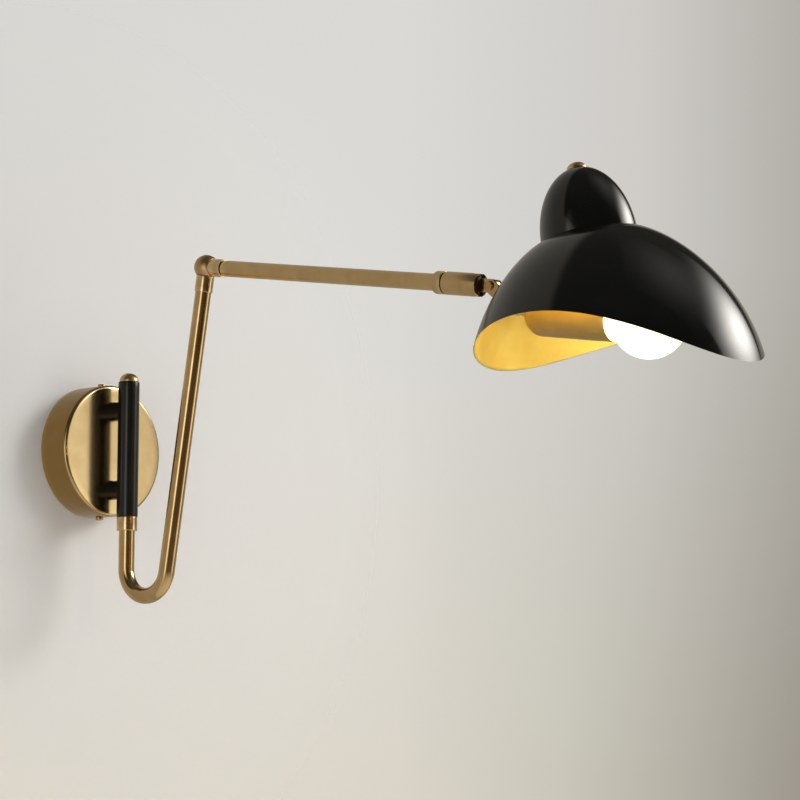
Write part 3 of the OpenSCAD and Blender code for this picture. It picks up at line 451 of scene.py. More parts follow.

# %% [markdown]
# ## Polished and satin brass
# The canopy and the small fittings are the same brass, buffed brighter. The canopy's face mirrors
# the barrel and the posts as a soft dark band, so its roughness stays low and even. The cap and
# the finial are rubbed to a satin, and the elbow's ball is matt from the lathe: a rougher metal
# spreads its highlight, so they look softer beside the tubes.

# %% Brass, buffed
# The last colour is the painted shade on the canopy's side.
polished_brass = brass("Polished brass, buffed", "#D6BA84", "#DAC08C", "#DFC694", "#E8D2A6",
                       0.17, None, 0.12, "#C3B08C")
polished_brass_small = brass("Polished brass, small fittings", "#B8965A", "#C4A267", "#D0B078",
                             "#E8CF98", 0.16, "Y")
satin_brass = brass("Satin brass, turned and rubbed", "#D4B47C", "#DCBC86", "#E2C490", "#EAD2A2",
                    0.34, "Z", 0.15)
ball_brass = brass("Antique brass, matt turned ball", "#C4A070", "#CCA878", "#D4B082", "#E0C292",
                   0.42, "Z", 0.15)
turned_brass = brass("Brass, turned bearing", "#A88848", "#B8984F", "#C8A85C", "#D8BC78", 0.3, "Z")

# %% [markdown]
# ## Black finishes
# The barrel and posts are steel with a satin black powder coat, whose melted grains leave a faint
# orange peel about 0.9 mm across. The shade is aluminium with a smooth gloss black enamel: its
# highlights are blurred only a little, and the long waves of the spun sheet bend them.

# %% Powder coat and enamel
def paint(name, base, light, rough, peel_size, peel_depth):
    """Black paint: two close blacks drift in clouds, and a fine bump gives the orange peel."""
    material, tree, shader = new_material(name)
    where = add(tree, "TexCoord").outputs["Object"]
    drift = noise(tree, where, 20 * MM, 3.0)
    peel = noise(tree, where, peel_size, 1.0)
    plug(tree, shader, {
        "Base Color": ramp(tree, drift, [(0.35, base), (0.65, light)]),
        "Roughness": scaled(tree, drift, rough * 0.85, rough * 1.2),
        "Normal": bump(tree, peel, 0.5, peel_depth)})
    return material


powder_black = paint("Satin black powder coat on steel", "#141312", "#191817",
                     0.23, 0.9 * MM, 0.012 * MM)
enamel_black = paint("Gloss black enamel on spun aluminium", "#111211", "#151615",
                     0.1, 3.0 * MM, 0.004 * MM)

# %% [markdown]
# ## Gold inside
# The inside of the shade and the lampholder's cup have a satin gold lacquer. Under it the spun
# sheet keeps rings about 2 mm apart, which spread the bulb's light into a soft glow. The lacquer
# is half a metal, so the gold deepens to orange where the light has bounced more than once.

# %% Satin gold lacquer
RING_PITCH = 2 * MM


def gold(name, deep, bright, rough, ring_depth, metal):
    """Gold lacquer over faint rings that follow the piece's own UV, with a soft drift of colour."""
    material, tree, shader = new_material(name)
    where = add(tree, "TexCoord").outputs
    rings_at = add(tree, "Mapping", {"Vector": where["UV"], "Scale": (1 / RING_PITCH, 0.5, 0.5)})
    rings = noise(tree, rings_at.outputs["Vector"], 1.0, 2.0)
    drift = noise(tree, where["Object"], 25 * MM, 3.0)
    plug(tree, shader, {
        "Base Color": ramp(tree, drift, [(0.35, deep), (0.65, bright)]),
        "Roughness": rough, "Metallic": metal, "Normal": bump(tree, rings, 0.3, ring_depth)})
    return material


gold_inside = gold("Satin gold lacquer inside the shade", "#F6D868", "#FCE67A",
                   0.42, 0.01 * MM, 0.55)
gold_cup = gold("Satin gold lacquer on the cup", "#B29858", "#BCA262", 0.45, 0.006 * MM, 0.4)

# %% [markdown]
# ## The hidden and small materials
# Zinc plate on the steel inside, white moulded polyester, dark fibre washers, the flex's sheath
# and the bulb's metal cap show from the back and from below. Oxidised brass is the dark metal that
# nobody rubs, in the seams. The same dark brass inside the sleeve's slot is painted shade.

# %% Zinc plate, plastics, fibre and sheath
def grained(name, low, high, rough, grain, depth, metal=0.0):
    """A plain finish: two close colours, the gloss and a bump share one noise of the grain size."""
    material, tree, shader = new_material(name)
    grains = noise(tree, add(tree, "TexCoord").outputs["Object"], grain, 3.0)
    plug(tree, shader, {
        "Base Color": ramp(tree, grains, [(0.35, low), (0.65, high)]), "Metallic": metal,
        "Roughness": scaled(tree, grains, rough * 0.8, rough * 1.2),
        "Normal": bump(tree, grains, 0.4, depth)})
    return material


zinc = grained("Zinc-plated steel", "#A9ACAE", "#C2C5C6", 0.34, 2.5 * MM, 0.01 * MM, 1.0)
white_plastic = grained("White moulded polyester", "#E4E1DA", "#ECEAE4", 0.42, 1.2 * MM, 0.01 * MM)
dark_fibre = grained("Vulcanised fibre, dark", "#241F1C", "#2F2925", 0.7, 0.6 * MM, 0.02 * MM)
flex_sheath = grained("PVC flex sheath", "#D9D4C8", "#E2DED4", 0.5, 1.5 * MM, 0.01 * MM)
# Dark brass: oxide in the seams, and painted shade inside the sleeve.
dark_brass = grained("Oxidised brass in seams, painted shade in the sleeve's slot", "#4A3A26", "#5C4930", 0.5, 0.8 * MM,
                     0.01 * MM, 1.0)
bulb_metal = grained("Bright aluminium bulb cap", "#C9CBCC", "#D8DADA", 0.28, 1.0 * MM,
                     0.008 * MM, 1.0)

# %% [markdown]
# ## Opal glass, lit
# The bulb is opal glass: white all through, so the lit filament shows only as an even glow. Less
# light comes from its flanks: the light it gives grows with the cube of how squarely the glass
# faces. Seen directly it is only a little brighter than white, so that the black rim in front of
# it keeps a clean edge, and Light Path tells the two apart.

# %% Lit opal glass
BULB_WARMTH = "#FFEFD2"
BULB_EDGE, BULB_MIDDLE, BULB_SEEN = 1.15, 54.0, 0.9
material, tree, shader = new_material("Opal glass, lit")
facing = add(tree, "LayerWeight", {"Blend": 0.5}).outputs["Facing"]
square_on = maths(tree, "SUBTRACT", 1.0, facing)
cube = maths(tree, "POWER", square_on, 3.0)
glow = maths(tree, "MULTIPLY_ADD", cube, BULB_MIDDLE, BULB_EDGE)
seen = maths(tree, "MULTIPLY_ADD", square_on, BULB_SEEN, BULB_EDGE)
direct = add(tree, "LightPath").outputs["Is Camera Ray"]
strength = add(tree, "Mix", {"Factor": direct, "A": glow, "B": seen}, data_type="FLOAT")
plug(tree, shader, {
    "Emission Strength": strength.outputs["Result"], "Emission Color": colour(BULB_WARMTH),
    "Base Color": colour("#F4F1EA"), "Roughness": 0.25})
opal_glass = material

# %% [markdown]
# ## Dressing a piece
# A new piece rides on a body, may stand for one or more CAD nodes, and takes one or more
# materials. A CAD node that already has the right shape is copied, its loose triangles are
# merged, and a tiny bevel lets its edges catch the light.

# %% Dress and finish
def dress(piece, body, nodes, slot, *materials):
    """Gives a piece its materials and body, and hides the CAD nodes it stands for. slot is not
    used.
    """
    for item in materials:
        piece.data.materials.append(item)
    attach(piece, body)
    if nodes:
        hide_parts(*nodes)
    print(piece.name, "on", body)
    return piece


NODE_SMOOTH_UP_TO = math.radians(28)
FINE_BEVEL = 0.12
NODE_DOUBLED = 1e-6


def finish_node(node, slot, material, bevel=FINE_BEVEL, inner=None):
    """A merged copy of a CAD node with smooth turned faces and a small bevel on its real edges.
    inner is an axis's frame, a radius and a finish, for the faces nearer to the axis than that."""
    source = frame["nodes"][node]
    mesh = source.data.copy()
    mesh.name = node + "_finished"
    mesh.materials.clear()
    shape = bmesh.new()
    shape.from_mesh(mesh)
    bmesh.ops.remove_doubles(shape, verts=shape.verts, dist=NODE_DOUBLED)
    shape.to_mesh(mesh)
    shape.free()
    if inner:
        centre = np.zeros(len(mesh.polygons) * 3)
        mesh.polygons.foreach_get("center", centre)
        at = np.c_[centre.reshape(-1, 3) / MM, np.ones(len(mesh.polygons))]
        local = at @ np.linalg.inv(inner[0]).T
        deep = np.hypot(local[:, 0], local[:, 1]) < inner[1]
        mesh.polygons.foreach_set("material_index", deep.astype(np.int32))
    mesh.polygons.foreach_set("use_smooth", np.ones(len(mesh.polygons), dtype=bool))
    mesh.set_sharp_from_angle(angle=NODE_SMOOTH_UP_TO)
    piece = bpy.data.objects.new(node + "_finished", mesh)
    scene.collection.objects.link(piece)
    if bevel:
        soften = piece.modifiers.new("Soften edges", "BEVEL")
        soften.width = bevel * MM
        soften.segments = 2
        soften.limit_method = "ANGLE"
        soften.angle_limit = NODE_SMOOTH_UP_TO
        soften.harden_normals = False
    return dress(piece, source["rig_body"], [node], slot, material, *(inner[2:] if inner else ()))


# %% [markdown]
# ## The canopy
# A round dish pressed from brass sheet: a flat face, a small radius and a straight side that
# stands on the wall. A press forms it over a round die, so one profile turned round the axis says
# it all. It is open at the back, so the profile goes out over the face and back inside.

# %% Canopy
CANOPY_R = 60.0
CANOPY_DEPTH = 31.5
CANOPY_WALL = 1.2
CANOPY_EDGE = 3.0


def arc(cx, cz, r, start, end, steps=10):
    """Points on a circle about (cx, cz) between two angles in degrees."""
    a = np.radians(np.linspace(start, end, steps))
    return np.c_[cx + r * np.cos(a), cz + r * np.sin(a)]


middle = (CANOPY_R - CANOPY_EDGE, CANOPY_DEPTH - CANOPY_EDGE)
outer = arc(*middle, CANOPY_EDGE, 90, 0)
inner = arc(*middle, CANOPY_EDGE - CANOPY_WALL, 0, 90)
profile = np.r_[[[0, CANOPY_DEPTH]], outer, [[CANOPY_R, 0], [CANOPY_R - CANOPY_WALL, 0]],
                inner, [[0, CANOPY_DEPTH - CANOPY_WALL]]]
radii = np.where(profile[:, 1] < 0.1, 0.3, 0.0)
canopy = revolve("canopy_dish", profile, OUT_OF_WALL, radii, 192)
dress(canopy, "wall_base", ["canopy"], "polished_brass", polished_brass)
print("canopy", CANOPY_R * 2, "mm across")

# %% [markdown]
# ## The barrel and its posts
# The barrel is a steel tube with faced ends, and two short posts hold it off the canopy. The tube
# is one profile. A boolean could cut the posts' ends to the barrel again, but their CAD nodes
# already have that cut, so they are copied and only painted, without a bevel.

# %% Barrel
BARREL_R = 9.6
BARREL_BORE = 7.9
BARREL_HALF = 61.5
profile = [[BARREL_BORE, -BARREL_HALF], [BARREL_R, -BARREL_HALF], [BARREL_R, BARREL_HALF],
           [BARREL_BORE, BARREL_HALF], [BARREL_BORE, -BARREL_HALF]]
barrel = revolve("barrel_tube", profile, ON_BARREL, [0.2, 0.6, 0.6, 0.2, 0.2])
dress(barrel, "wall_base", ["barrel"], "black_paint", powder_black)

# %% Posts
for name in ("upper_post", "lower_post"):
    finish_node(name, "black_paint", powder_black, 0)

# %% [markdown]
# ## Cap and collar
# Both are turned from brass bar. The cap is a low dome, and the collar has a small chamfer at its
# foot where the arm's tube enters it. Turning a profile is what a lathe does, and its rows carry
# the UV that the fine lines follow.

# %% Cap and collar
CAP_R = 8.7
CAP_H = 8.0
CAP_FOOT = 61.8
CAP_RIM = 0.5
SPINDLE_BORE = 5.05
crown = arc(0, 0, 1, 0, 90, 18) * [CAP_R, CAP_H - CAP_RIM] + [0, CAP_RIM]
profile = np.r_[[[SPINDLE_BORE, 0], [CAP_R, 0]], crown]
radii = np.where(profile[:, 1] < 0.1, 0.25, 0)
cap = revolve("domed_cap", profile, ON_BARREL @ shift(0, 0, CAP_FOOT), radii)
dress(cap, "lower_arm", ["barrel_cap"], "antique_brass", satin_brass)

COLLAR_TOP = -61.8
COLLAR_H = 12.3
COLLAR_R = 9.3
CHAMFER = 0.4
TUBE_SEAT_R = 7.18
SEAT_DEPTH = 6.0
profile = [[SPINDLE_BORE, 0], [COLLAR_R, 0], [COLLAR_R, -COLLAR_H + CHAMFER],
           [COLLAR_R - CHAMFER, -COLLAR_H], [TUBE_SEAT_R, -COLLAR_H],
           [TUBE_SEAT_R, -COLLAR_H + SEAT_DEPTH]]
collar = revolve("foot_collar", profile, ON_BARREL @ shift(0, 0, COLLAR_TOP),
                 [0, 0.3, 0.15, 0.15, 0.15, 0])
dress(collar, "lower_arm", ["bottom_collar"], "polished_brass", antique_brass)

# %% [markdown]
# ## The J-shaped tube
# The lower arm is one brass tube, bent cold round a former. Its line goes straight down from the
# collar, turns through 170.5 degrees on a radius of 25.7 mm, and then climbs as the leaning leg.
# A curve with a round bevel could make it. A circle carried along that line is chosen, because it
# brings the inside wall and a UV in metres too.

# %% Bent tube
TUBE_R = 7.15
TUBE_WALL = 1.2
BEND_R = 25.7
COLLAR_FOOT = COLLAR_TOP - COLLAR_H
lean_rad = math.radians(LEAN)
leg = (-ELBOW[1] - BARREL_Y - BEND_R * (1 + math.cos(lean_rad))) / math.sin(lean_rad)
BEND_Z = ELBOW[2] - leg * math.cos(lean_rad) + BEND_R * math.sin(lean_rad)
FERRULE_TOP = 8.1
FERRULE_LEN = 14.3
LEG_TOP = FERRULE_TOP + FERRULE_LEN - SEAT_DEPTH


def sweep_in_plane(name, line, normal, radius, bore, sides=64):
    """A tube whose line lies in the YZ plane: each point is the line's point plus the radius times
    cos(a) along X and sin(a) along the line's own normal. The wall folds over to the bore at both
    ends."""
    angle = np.linspace(0, 2 * math.pi, sides, endpoint=False)
    side = np.stack([np.cos(angle), np.sin(angle)], -1)
    n3 = np.c_[np.zeros(len(line)), normal]
    l3 = np.c_[np.zeros(len(line)), line]

    def ring(r):
        return l3[:, None] + r * (side[None, :, :1] * [1.0, 0, 0] + side[None, :, 1:] * n3[:, None])

    grid = np.concatenate([ring(radius), ring(bore)[::-1], ring(radius)[:1]])
    length = run(line)
    along = np.r_[length, length[-1] + 1 + length, 2 * length[-1] + 2]
    return make_piece(name, grid, along, np.linspace(0, 2 * math.pi, sides + 1) * radius, np.eye(4))


DOWN_STEPS, BEND_STEPS, CLIMB_STEPS = 12, 72, 60
down = np.linspace(COLLAR_FOOT + SEAT_DEPTH, BEND_Z, DOWN_STEPS)
turned = np.radians(np.linspace(0, 180 - LEAN, BEND_STEPS))
climb = np.linspace(0, leg - LEG_TOP, CLIMB_STEPS)
bend_y = -BARREL_Y - BEND_R + BEND_R * np.cos(turned)
bend_z = BEND_Z - BEND_R * np.sin(turned)
leg_dir = np.array([-math.sin(lean_rad), math.cos(lean_rad)])
line = np.r_[np.c_[np.full(DOWN_STEPS, -BARREL_Y), down], np.c_[bend_y, bend_z][1:],
             np.array([bend_y[-1], bend_z[-1]]) + climb[1:, None] * leg_dir]
normal = np.r_[np.tile([1.0, 0.0], (DOWN_STEPS, 1)), np.c_[np.cos(turned), -np.sin(turned)][1:],
               np.tile([math.cos(turned[-1]), -math.sin(turned[-1])], (CLIMB_STEPS - 1, 1))]
lower_tube = sweep_in_plane("bent_lower_tube", line, normal, TUBE_R, TUBE_R - TUBE_WALL)
dress(lower_tube, "lower_arm", ["lower_arm_tube"], "antique_brass", antique_brass)
print("tube length", round(run(line)[-1]), "mm")

# %% [markdown]
# ## The elbow
# A turned ball with two flats: one sits on the ferrule of the lower arm, and from the other a
# neck goes to the upper arm. The ball is a distance from its centre in each direction: the
# sphere's radius, or the distance to a flat if that is shorter. A thin dark ring fills the seam
# between the neck and the tube, because a real seam holds old polish and shows as a line.

# %% Ferrule and ball
BALL_R = 11.1
BALL_FLAT = 7.8
FERRULE_R = 7.95
FERRULE_BORE = 3.53
profile = [[FERRULE_BORE, 0], [FERRULE_R, 0], [FERRULE_R, FERRULE_LEN], [TUBE_SEAT_R, FERRULE_LEN],
           [TUBE_SEAT_R, FERRULE_LEN - SEAT_DEPTH]]
ferrule = revolve("leg_ferrule", profile, DOWN_LEG @ shift(0, 0, FERRULE_TOP),
                  [0, 0.45, 0.45, 0.15, 0])
dress(ferrule, "lower_arm", ["elbow_ferrule"], "antique_brass", antique_brass)

NECK_START = 13.0
NECK_END = 23.0
GROOVE_R = 7.7
SEAM = 0.8
SEAM_BORE = 4.1
NIPPLE_BORE = 4.03


def seam_ring(name, start, end, radius, body):
    """A thin dark ring in a seam: the oxidised shoulder that shows between two turned parts."""
    profile = [[SEAM_BORE, start], [radius, start], [radius, end], [SEAM_BORE, end]]
    return dress(revolve(name, profile, ALONG_ARM, 0.05, 64), body, [], "antique_brass", dark_brass)


BALL_ROWS, BALL_COLS = 120, 160
LEAST_FACING = 0.05
polar = np.linspace(0, math.pi, BALL_ROWS)
azimuth = np.linspace(0, 2 * math.pi, BALL_COLS + 1)
ray = np.stack([np.outer(np.sin(polar), np.cos(azimuth[:-1])),
                np.outer(np.sin(polar), np.sin(azimuth[:-1])),
                np.outer(np.cos(polar), np.ones(BALL_COLS))], -1)
reach = np.full(ray.shape[:2], BALL_R)
for towards_flat in (ray[..., 2], -ray[..., 1]):
    reach = np.minimum(reach, BALL_FLAT / np.maximum(towards_flat, LEAST_FACING))
ball = make_piece("elbow_ball_turned", ray * reach[..., None], polar * BALL_R,
                  azimuth * BALL_R, ALONG_ARM)
dress(ball, "upper_arm", ["elbow_ball"], "antique_brass", ball_brass)

NECK_ROOT = BALL_FLAT - 0.3
NECK_BORE = 4.0
profile = [[NECK_BORE, NECK_ROOT], [GROOVE_R, NECK_ROOT], [GROOVE_R, NECK_START],
           [FERRULE_R, NECK_START], [FERRULE_R, NECK_END - SEAM], [NIPPLE_BORE, NECK_END - SEAM]]
neck = revolve("ball_neck", profile, ALONG_ARM, [0, 0.1, 0.2, 0.12, 0.08, 0])
dress(neck, "upper_arm", [], "antique_brass", antique_brass)
seam_ring("neck_seam", NECK_END - SEAM, NECK_END + 0.15, TUBE_R - 0.1, "upper_arm")

# %% [markdown]
# ## The upper arm
# A straight tube of the same stock, between the neck and a turned collar. The collar has a
# rounded shoulder, and past a thin seam the swivel sleeve has the same width.

# %% Straight tube and end collar
ARM_START = 23.2
ARM_TUBE_END = 270.5
ARM_LEN = 275.5
profile = [[TUBE_R - TUBE_WALL, ARM_START], [TUBE_R, ARM_START], [TUBE_R, ARM_TUBE_END],
           [TUBE_R - TUBE_WALL, ARM_TUBE_END], [TUBE_R - TUBE_WALL, ARM_START]]
upper_tube = revolve("straight_upper_tube", profile, ALONG_ARM, 0.1, 64)
dress(upper_tube, "upper_arm", ["upper_arm_tube"], "antique_brass", antique_brass)

SLEEVE_R = 9.6
END_COLLAR_LEN = 10.4
SHOULDER = 1.8
collar_start = ARM_LEN - END_COLLAR_LEN
profile = np.r_[[[TUBE_SEAT_R, collar_start]],
                arc(SLEEVE_R - SHOULDER, collar_start + SHOULDER, SHOULDER, -90, 0),
                [[SLEEVE_R, ARM_LEN - SEAM], [NIPPLE_BORE, ARM_LEN - SEAM]]]
radii = np.where(profile[:, 1] > ARM_LEN - SEAM - 0.1, 0.15, 0)
end_collar = revolve("arm_end_ring", profile, ALONG_ARM, radii, 72)
dress(end_collar, "upper_arm", ["arm_end_collar"], "antique_brass", antique_brass)
seam_ring("swivel_seam", ARM_LEN - SEAM, ARM_LEN, SLEEVE_R - 0.9, "upper_arm")

# %% [markdown]
# ## Sleeve, knuckle, stem and the small fittings
# These have slots, cross holes and cheeks that the CAD nodes already carry. Each gets smooth
# turned faces, a fine bevel and its own finish. The sleeve is dark inside, deeper than its skin:
# painted shade in its bore and slot.

# %% Knuckle and stem
SKIN = 0.5
# The faces inside the sleeve take the dark brass as painted shade.
finish_node("swivel_sleeve", "antique_brass", antique_brass_small,
            inner=(ALONG_SWIVEL, SLEEVE_R - SKIN, dark_brass))
for name in ("knuckle_tongue", "shade_fork", "cup_tube"):
    finish_node(name, "antique_brass", antique_brass_small)
for name in ("side_screws", "pivot_screw", "pivot_nut", "outer_clamp_ring"):
    finish_node(name, "polished_brass", polished_brass_small, 0.08)
finish_node("neck_nut", "dark_fibre", dark_fibre, 0.2)

# %% [markdown]
# ## The shade
# The dome and the flare are one spun sheet. A big cylinder across the shade cuts its rim to a
# saddle: in each direction round the axis the rim is where the flare meets that cylinder, found
# by halving an interval thirty times for all directions at once. The inside wall is the same
# surface moved in by the sheet's thickness, and it has its own cut, so the rim's edge is true.
# The flare's rows lie closer together near the crease, where its curve is sharpest.

# %% Where the rim is
SHADE_SIDES = 288
HALVINGS = 30
RIM_FROM, RIM_TO = math.radians(20), math.radians(90)


def on_flare(u, angle, inset):
    """A point of the flare at angle u and direction angle, moved in along the normal by inset."""
    radius, z = flare(u)
    nr, nz = flare_normal(np.maximum(u, 1e-4))
    radius, z = radius - inset * nr, z - inset * nz
    return np.stack([radius * np.cos(angle), radius * np.sin(angle), z], -1)


def rim_angle(angle, inset):
    """The flare's angle u at which the saddle cylinder cuts it, by bisection in every direction at
    once."""
    low, high = np.full_like(angle, RIM_FROM), np.full_like(angle, RIM_TO)
    for _ in range(HALVINGS):
        mid = (low + high) / 2
        p = on_flare(mid, angle, inset)
        from_axis = np.hypot(p[:, 1] - SADDLE_BACK, p[:, 2] + SADDLE_RISE + SADDLE_R)
        inside = from_axis < SADDLE_R
        low, high = np.where(inside, low, mid), np.where(inside, mid, high)
    return low


print("rim at", np.round(np.degrees(rim_angle(np.radians([0.0, 90, 270]), 0.0))), "degrees")

# %% Shade surface
DOME_ROWS = 44
FLARE_ROWS = 96
CLOSER_AT_CREASE = 1.15
ACROSS_RIM = (0.15, 0.5, 0.85)
around = np.linspace(0, 2 * math.pi, SHADE_SIDES, endpoint=False)


def shade_side(inset):
    """Rows from the dome's top to the rim. The dome is half an ellipse moved in by inset, and the
    flare's rows share out the angle between the crease and the rim of each direction."""
    v = np.linspace(math.pi / 2, 0, DOME_ROWS)[:, None]
    nr, nz = np.cos(v) / CREASE_R, np.sin(v) / DOME_H
    size = np.hypot(nr, nz)
    radius = CREASE_R * np.cos(v) - inset * nr / size
    z = DOME_H * np.sin(v) - inset * nz / size
    dome = np.stack([radius * np.cos(around), radius * np.sin(around),
                     np.repeat(z, SHADE_SIDES, 1)], -1)
    share = np.linspace(0, 1, FLARE_ROWS)[1:, None] ** CLOSER_AT_CREASE
    u = share * rim_angle(around, inset)
    return np.concatenate([dome, on_flare(u, np.broadcast_to(around, u.shape), inset)])


outside, inside = shade_side(0.0), shade_side(SHADE_WALL)
lip = np.stack([outside[-1] * (1 - t) + inside[-1] * t for t in ACROSS_RIM])
grid = np.concatenate([outside, lip, inside[::-1]])
row_slots = np.arange(len(grid) - 1) >= len(outside)
round_it = np.linspace(0, 2 * math.pi, SHADE_SIDES + 1) * CREASE_R * 2
shade = make_piece("spun_shade", grid, run(grid[:, 0]), round_it, IN_SHADE, face_slots=row_slots)
dress(shade, "head", ["shade"], "black_shade", enamel_black, gold_inside)
print("shade", len(shade.data.polygons), "faces")

# %% [markdown]
# ## Finial, cup and bulb
# The finial is a low turned button whose underside follows the dome's ellipse. The cup is spun
# sheet with a gold lacquer and a rounded closed end.
# The bulb's outline is a straight neck, a hollow curve and a ball, as on a common pear bulb.

# %% Finial and cup
FINIAL_R = 8.0
FINIAL_H = 4.5
STUD_R, STUD_LEN = 3.0, 9
LIFT = 0.12
sweep = np.radians(np.linspace(0, 90, 20))
under = np.linspace(STUD_R, FINIAL_R, 8)
under_z = DOME_H * (np.sqrt(1 - (under / CREASE_R) ** 2) - 1) + 0.1
crown = np.c_[FINIAL_R * np.cos(sweep), under_z[-1] + (FINIAL_H - under_z[-1]) * np.sin(sweep)]
profile = np.r_[[[STUD_R, -STUD_LEN]], np.c_[under, under_z], crown[1:]]
finial = revolve("shade_button", profile, IN_SHADE @ shift(0, 0, DOME_H + LIFT), 0, 72)
dress(finial, "head", ["shade_finial"], "polished_brass", satin_brass)

CUP_R = 19.0
CUP_LEN = 82.5
CUP_ROUND = 13.0
CUP_WALL = 1.0
CUP_HOLE = 5.03
outer = arc(CUP_R - CUP_ROUND, CUP_ROUND, CUP_ROUND, -90, 0, 14)
inner = arc(CUP_R - CUP_ROUND, CUP_ROUND, CUP_ROUND - CUP_WALL, 0, -90, 14)
mouth = [[CUP_R, CUP_LEN], [CUP_R - CUP_WALL, CUP_LEN]]
profile = np.r_[[[CUP_HOLE, 0]], outer, mouth, inner, [[CUP_HOLE, CUP_WALL]]]
radii = np.where(profile[:, 1] > CUP_LEN - 0.1, 0.3, 0)
cup = revolve("lampholder_shell", profile, IN_CUP, radii, 96)
dress(cup, "head", ["lampholder_cup"], "gold_inside", gold_cup)

# %% Bulb
BULB_SET = 34.0
BULB_R = 30.0
BULB_LEN = 108.0
BULB_CAP_LEN = 26.0
NECK_R = 13.3
STRAIGHT = 5
bulb_mid = BULB_LEN - BULB_R
neck_run = bulb_mid - BULB_CAP_LEN - STRAIGHT
hollow_r = (neck_run ** 2 - BULB_R ** 2 + NECK_R ** 2) / (2 * (BULB_R - NECK_R))
neck_turn = math.asin(neck_run / (BULB_R + hollow_r))

# The hollow curve is a circle outside the neck, and it meets the ball's circle on one tangent.
a = np.linspace(0, neck_turn, 20)
b = np.linspace(-neck_turn, math.pi / 2, 48)[1:]
hollow = np.c_[NECK_R + hollow_r * (1 - np.cos(a)), bulb_mid - neck_run + hollow_r * np.sin(a)]
ball_side = np.c_[BULB_R * np.cos(b), bulb_mid + BULB_R * np.sin(b)]
profile = np.r_[[[NECK_R, BULB_CAP_LEN]], hollow, ball_side]
globe = revolve("opal_globe", profile, IN_CUP @ shift(0, 0, BULB_SET), 0, 96)
dress(globe, "head", ["bulb_globe"], "opal_glass", opal_glass)

# %% [markdown]
# ## Finishes of the nodes that stay
# The inner parts keep their CAD shapes, because little of them shows, and get the finish that
# their record slot names.

# %% Finish the rest
finish_of = {
    "zinc_steel": zinc, "polished_brass": polished_brass_small, "antique_brass": turned_brass,
    "black_paint": powder_black, "white_plastic": white_plastic, "flex_sheath": flex_sheath,
    "dark_fibre": dark_fibre, "bulb_metal": bulb_metal, "opal_glass": opal_glass,
    "gold_inside": gold_cup, "black_shade": enamel_black}
slots = {part["node"]: part["material_slot"] for part in frame["record"]["subparts"]}
for name, item in frame["nodes"].items():
    item.data.materials.clear()
    item.data.materials.append(finish_of[slots[name]])
print("nodes finished:", len(frame["nodes"]))

# %% [markdown]
# ## The floor and the wall
# The lamp hangs in the air of a pale studio. The floor lies well below it, and a patch of wall
# behind the canopy takes the lamp's shadow. Both fade out towards their edges and are see-through
# from their backs. They are stage, so neither is a part of the lamp. The floor also glows a little
# where the camera or a mirror sees it, so that it is as pale as the air round it, and behind the
# wall's plane only the camera sees it.

# %% Floor
SQUARE = ((-1, -1), (1, -1), (1, 1), (-1, 1))


def stage_plane(name, corners, paint_name):
    """An object with one face of four corners and a new material, with that material's tree and
    shader."""
    mesh = bpy.data.meshes.new(name)
    mesh.from_pydata(corners, [], [(0, 1, 2, 3)])
    plane = bpy.data.objects.new(name, mesh)
    scene.collection.objects.link(plane)
    material, tree, shader = new_material(paint_name)
    mesh.materials.append(material)
    return plane, tree, shader


def largest(tree, first, *others):
    """The largest of two or more factors."""
    for other in others:
        first = maths(tree, "MAXIMUM", first, other)
    return first


def fade_out(tree, shader, begin, end, *more, **how):
    """The surface is see-through from behind, and it fades out between two distances from the
    frame's origin, in metres. More factors may open it too."""
    far = add(tree, "VectorMath", {0: add(tree, "TexCoord").outputs["Object"]}, operation="LENGTH")
    edge = rise(tree, far.outputs["Value"], begin, end, **how)
    gone = largest(tree, edge, add(tree, "NewGeometry").outputs["Backfacing"], *more)
    clear = add(tree, "BsdfTransparent").outputs["BSDF"]
    surface = add(tree, "MixShader", {0: gone, 1: shader.outputs["BSDF"], 2: clear})
    tree.links.new(surface.outputs["Shader"], tree.nodes["Material Output"].inputs["Surface"])


FLOOR_Z = -1.4
FLOOR_HALF = 6.0
FLOOR_FADE = 2.5
FLOOR_GLOW = 0.3
SPECKLE = 60 * MM
corners = [(x * FLOOR_HALF, y * FLOOR_HALF, FLOOR_Z) for x, y in SQUARE]
floor, tree, shader = stage_plane("floor", corners, "Matt studio floor paint")
place = add(tree, "TexCoord").outputs["Object"]
paint_colour = ramp(tree, noise(tree, place, SPECKLE, 4.0), [(0.3, "#DEDAD3"), (0.7, "#E4E0D9")])
path = add(tree, "LightPath").outputs
seen = largest(tree, path["Is Camera Ray"], path["Is Glossy Ray"], path["Is Transmission Ray"])
plug(tree, shader, {
    "Base Color": paint_colour, "Emission Color": paint_colour, "Roughness": 0.8,
    "Emission Strength": maths(tree, "MULTIPLY", seen, FLOOR_GLOW)})
behind_wall = maths(tree, "GREATER_THAN", add(tree, "SeparateXYZ", {0: place}).outputs["Y"], 0.0)
only_light = maths(tree, "SUBTRACT", behind_wall, path["Is Camera Ray"])
fade_out(tree, shader, FLOOR_FADE, FLOOR_HALF, only_light)

# %% Wall
WALL_BACK = 0.4 * MM
WALL_HALF = 0.6
WALL_FADE = 0.1, 0.57
corners = [(x * WALL_HALF, WALL_BACK, z * WALL_HALF) for x, z in SQUARE]
wall_patch, tree, shader = stage_plane("wall", corners, "Matt wall paint")
plug(tree, shader, {"Base Color": colour("#FBFCFF"), "Roughness": 0.9, "Specular IOR Level": 0.0})
fade_out(tree, shader, *WALL_FADE, interpolation_type="SMOOTHSTEP")
for ray in ("diffuse", "glossy", "transmission", "volume_scatter", "shadow"):
    setattr(wall_patch, "visible_" + ray, False)
print("stage:", floor.name, "and", wall_patch.name)

# %% [markdown]
# ## The world
# The camera sees a pale wall that changes a little over the picture. A mirror sees the wall's grey
# towards the back and a dark room in front, which gives the brass its dark bands. Matt surfaces
# get one even grey.

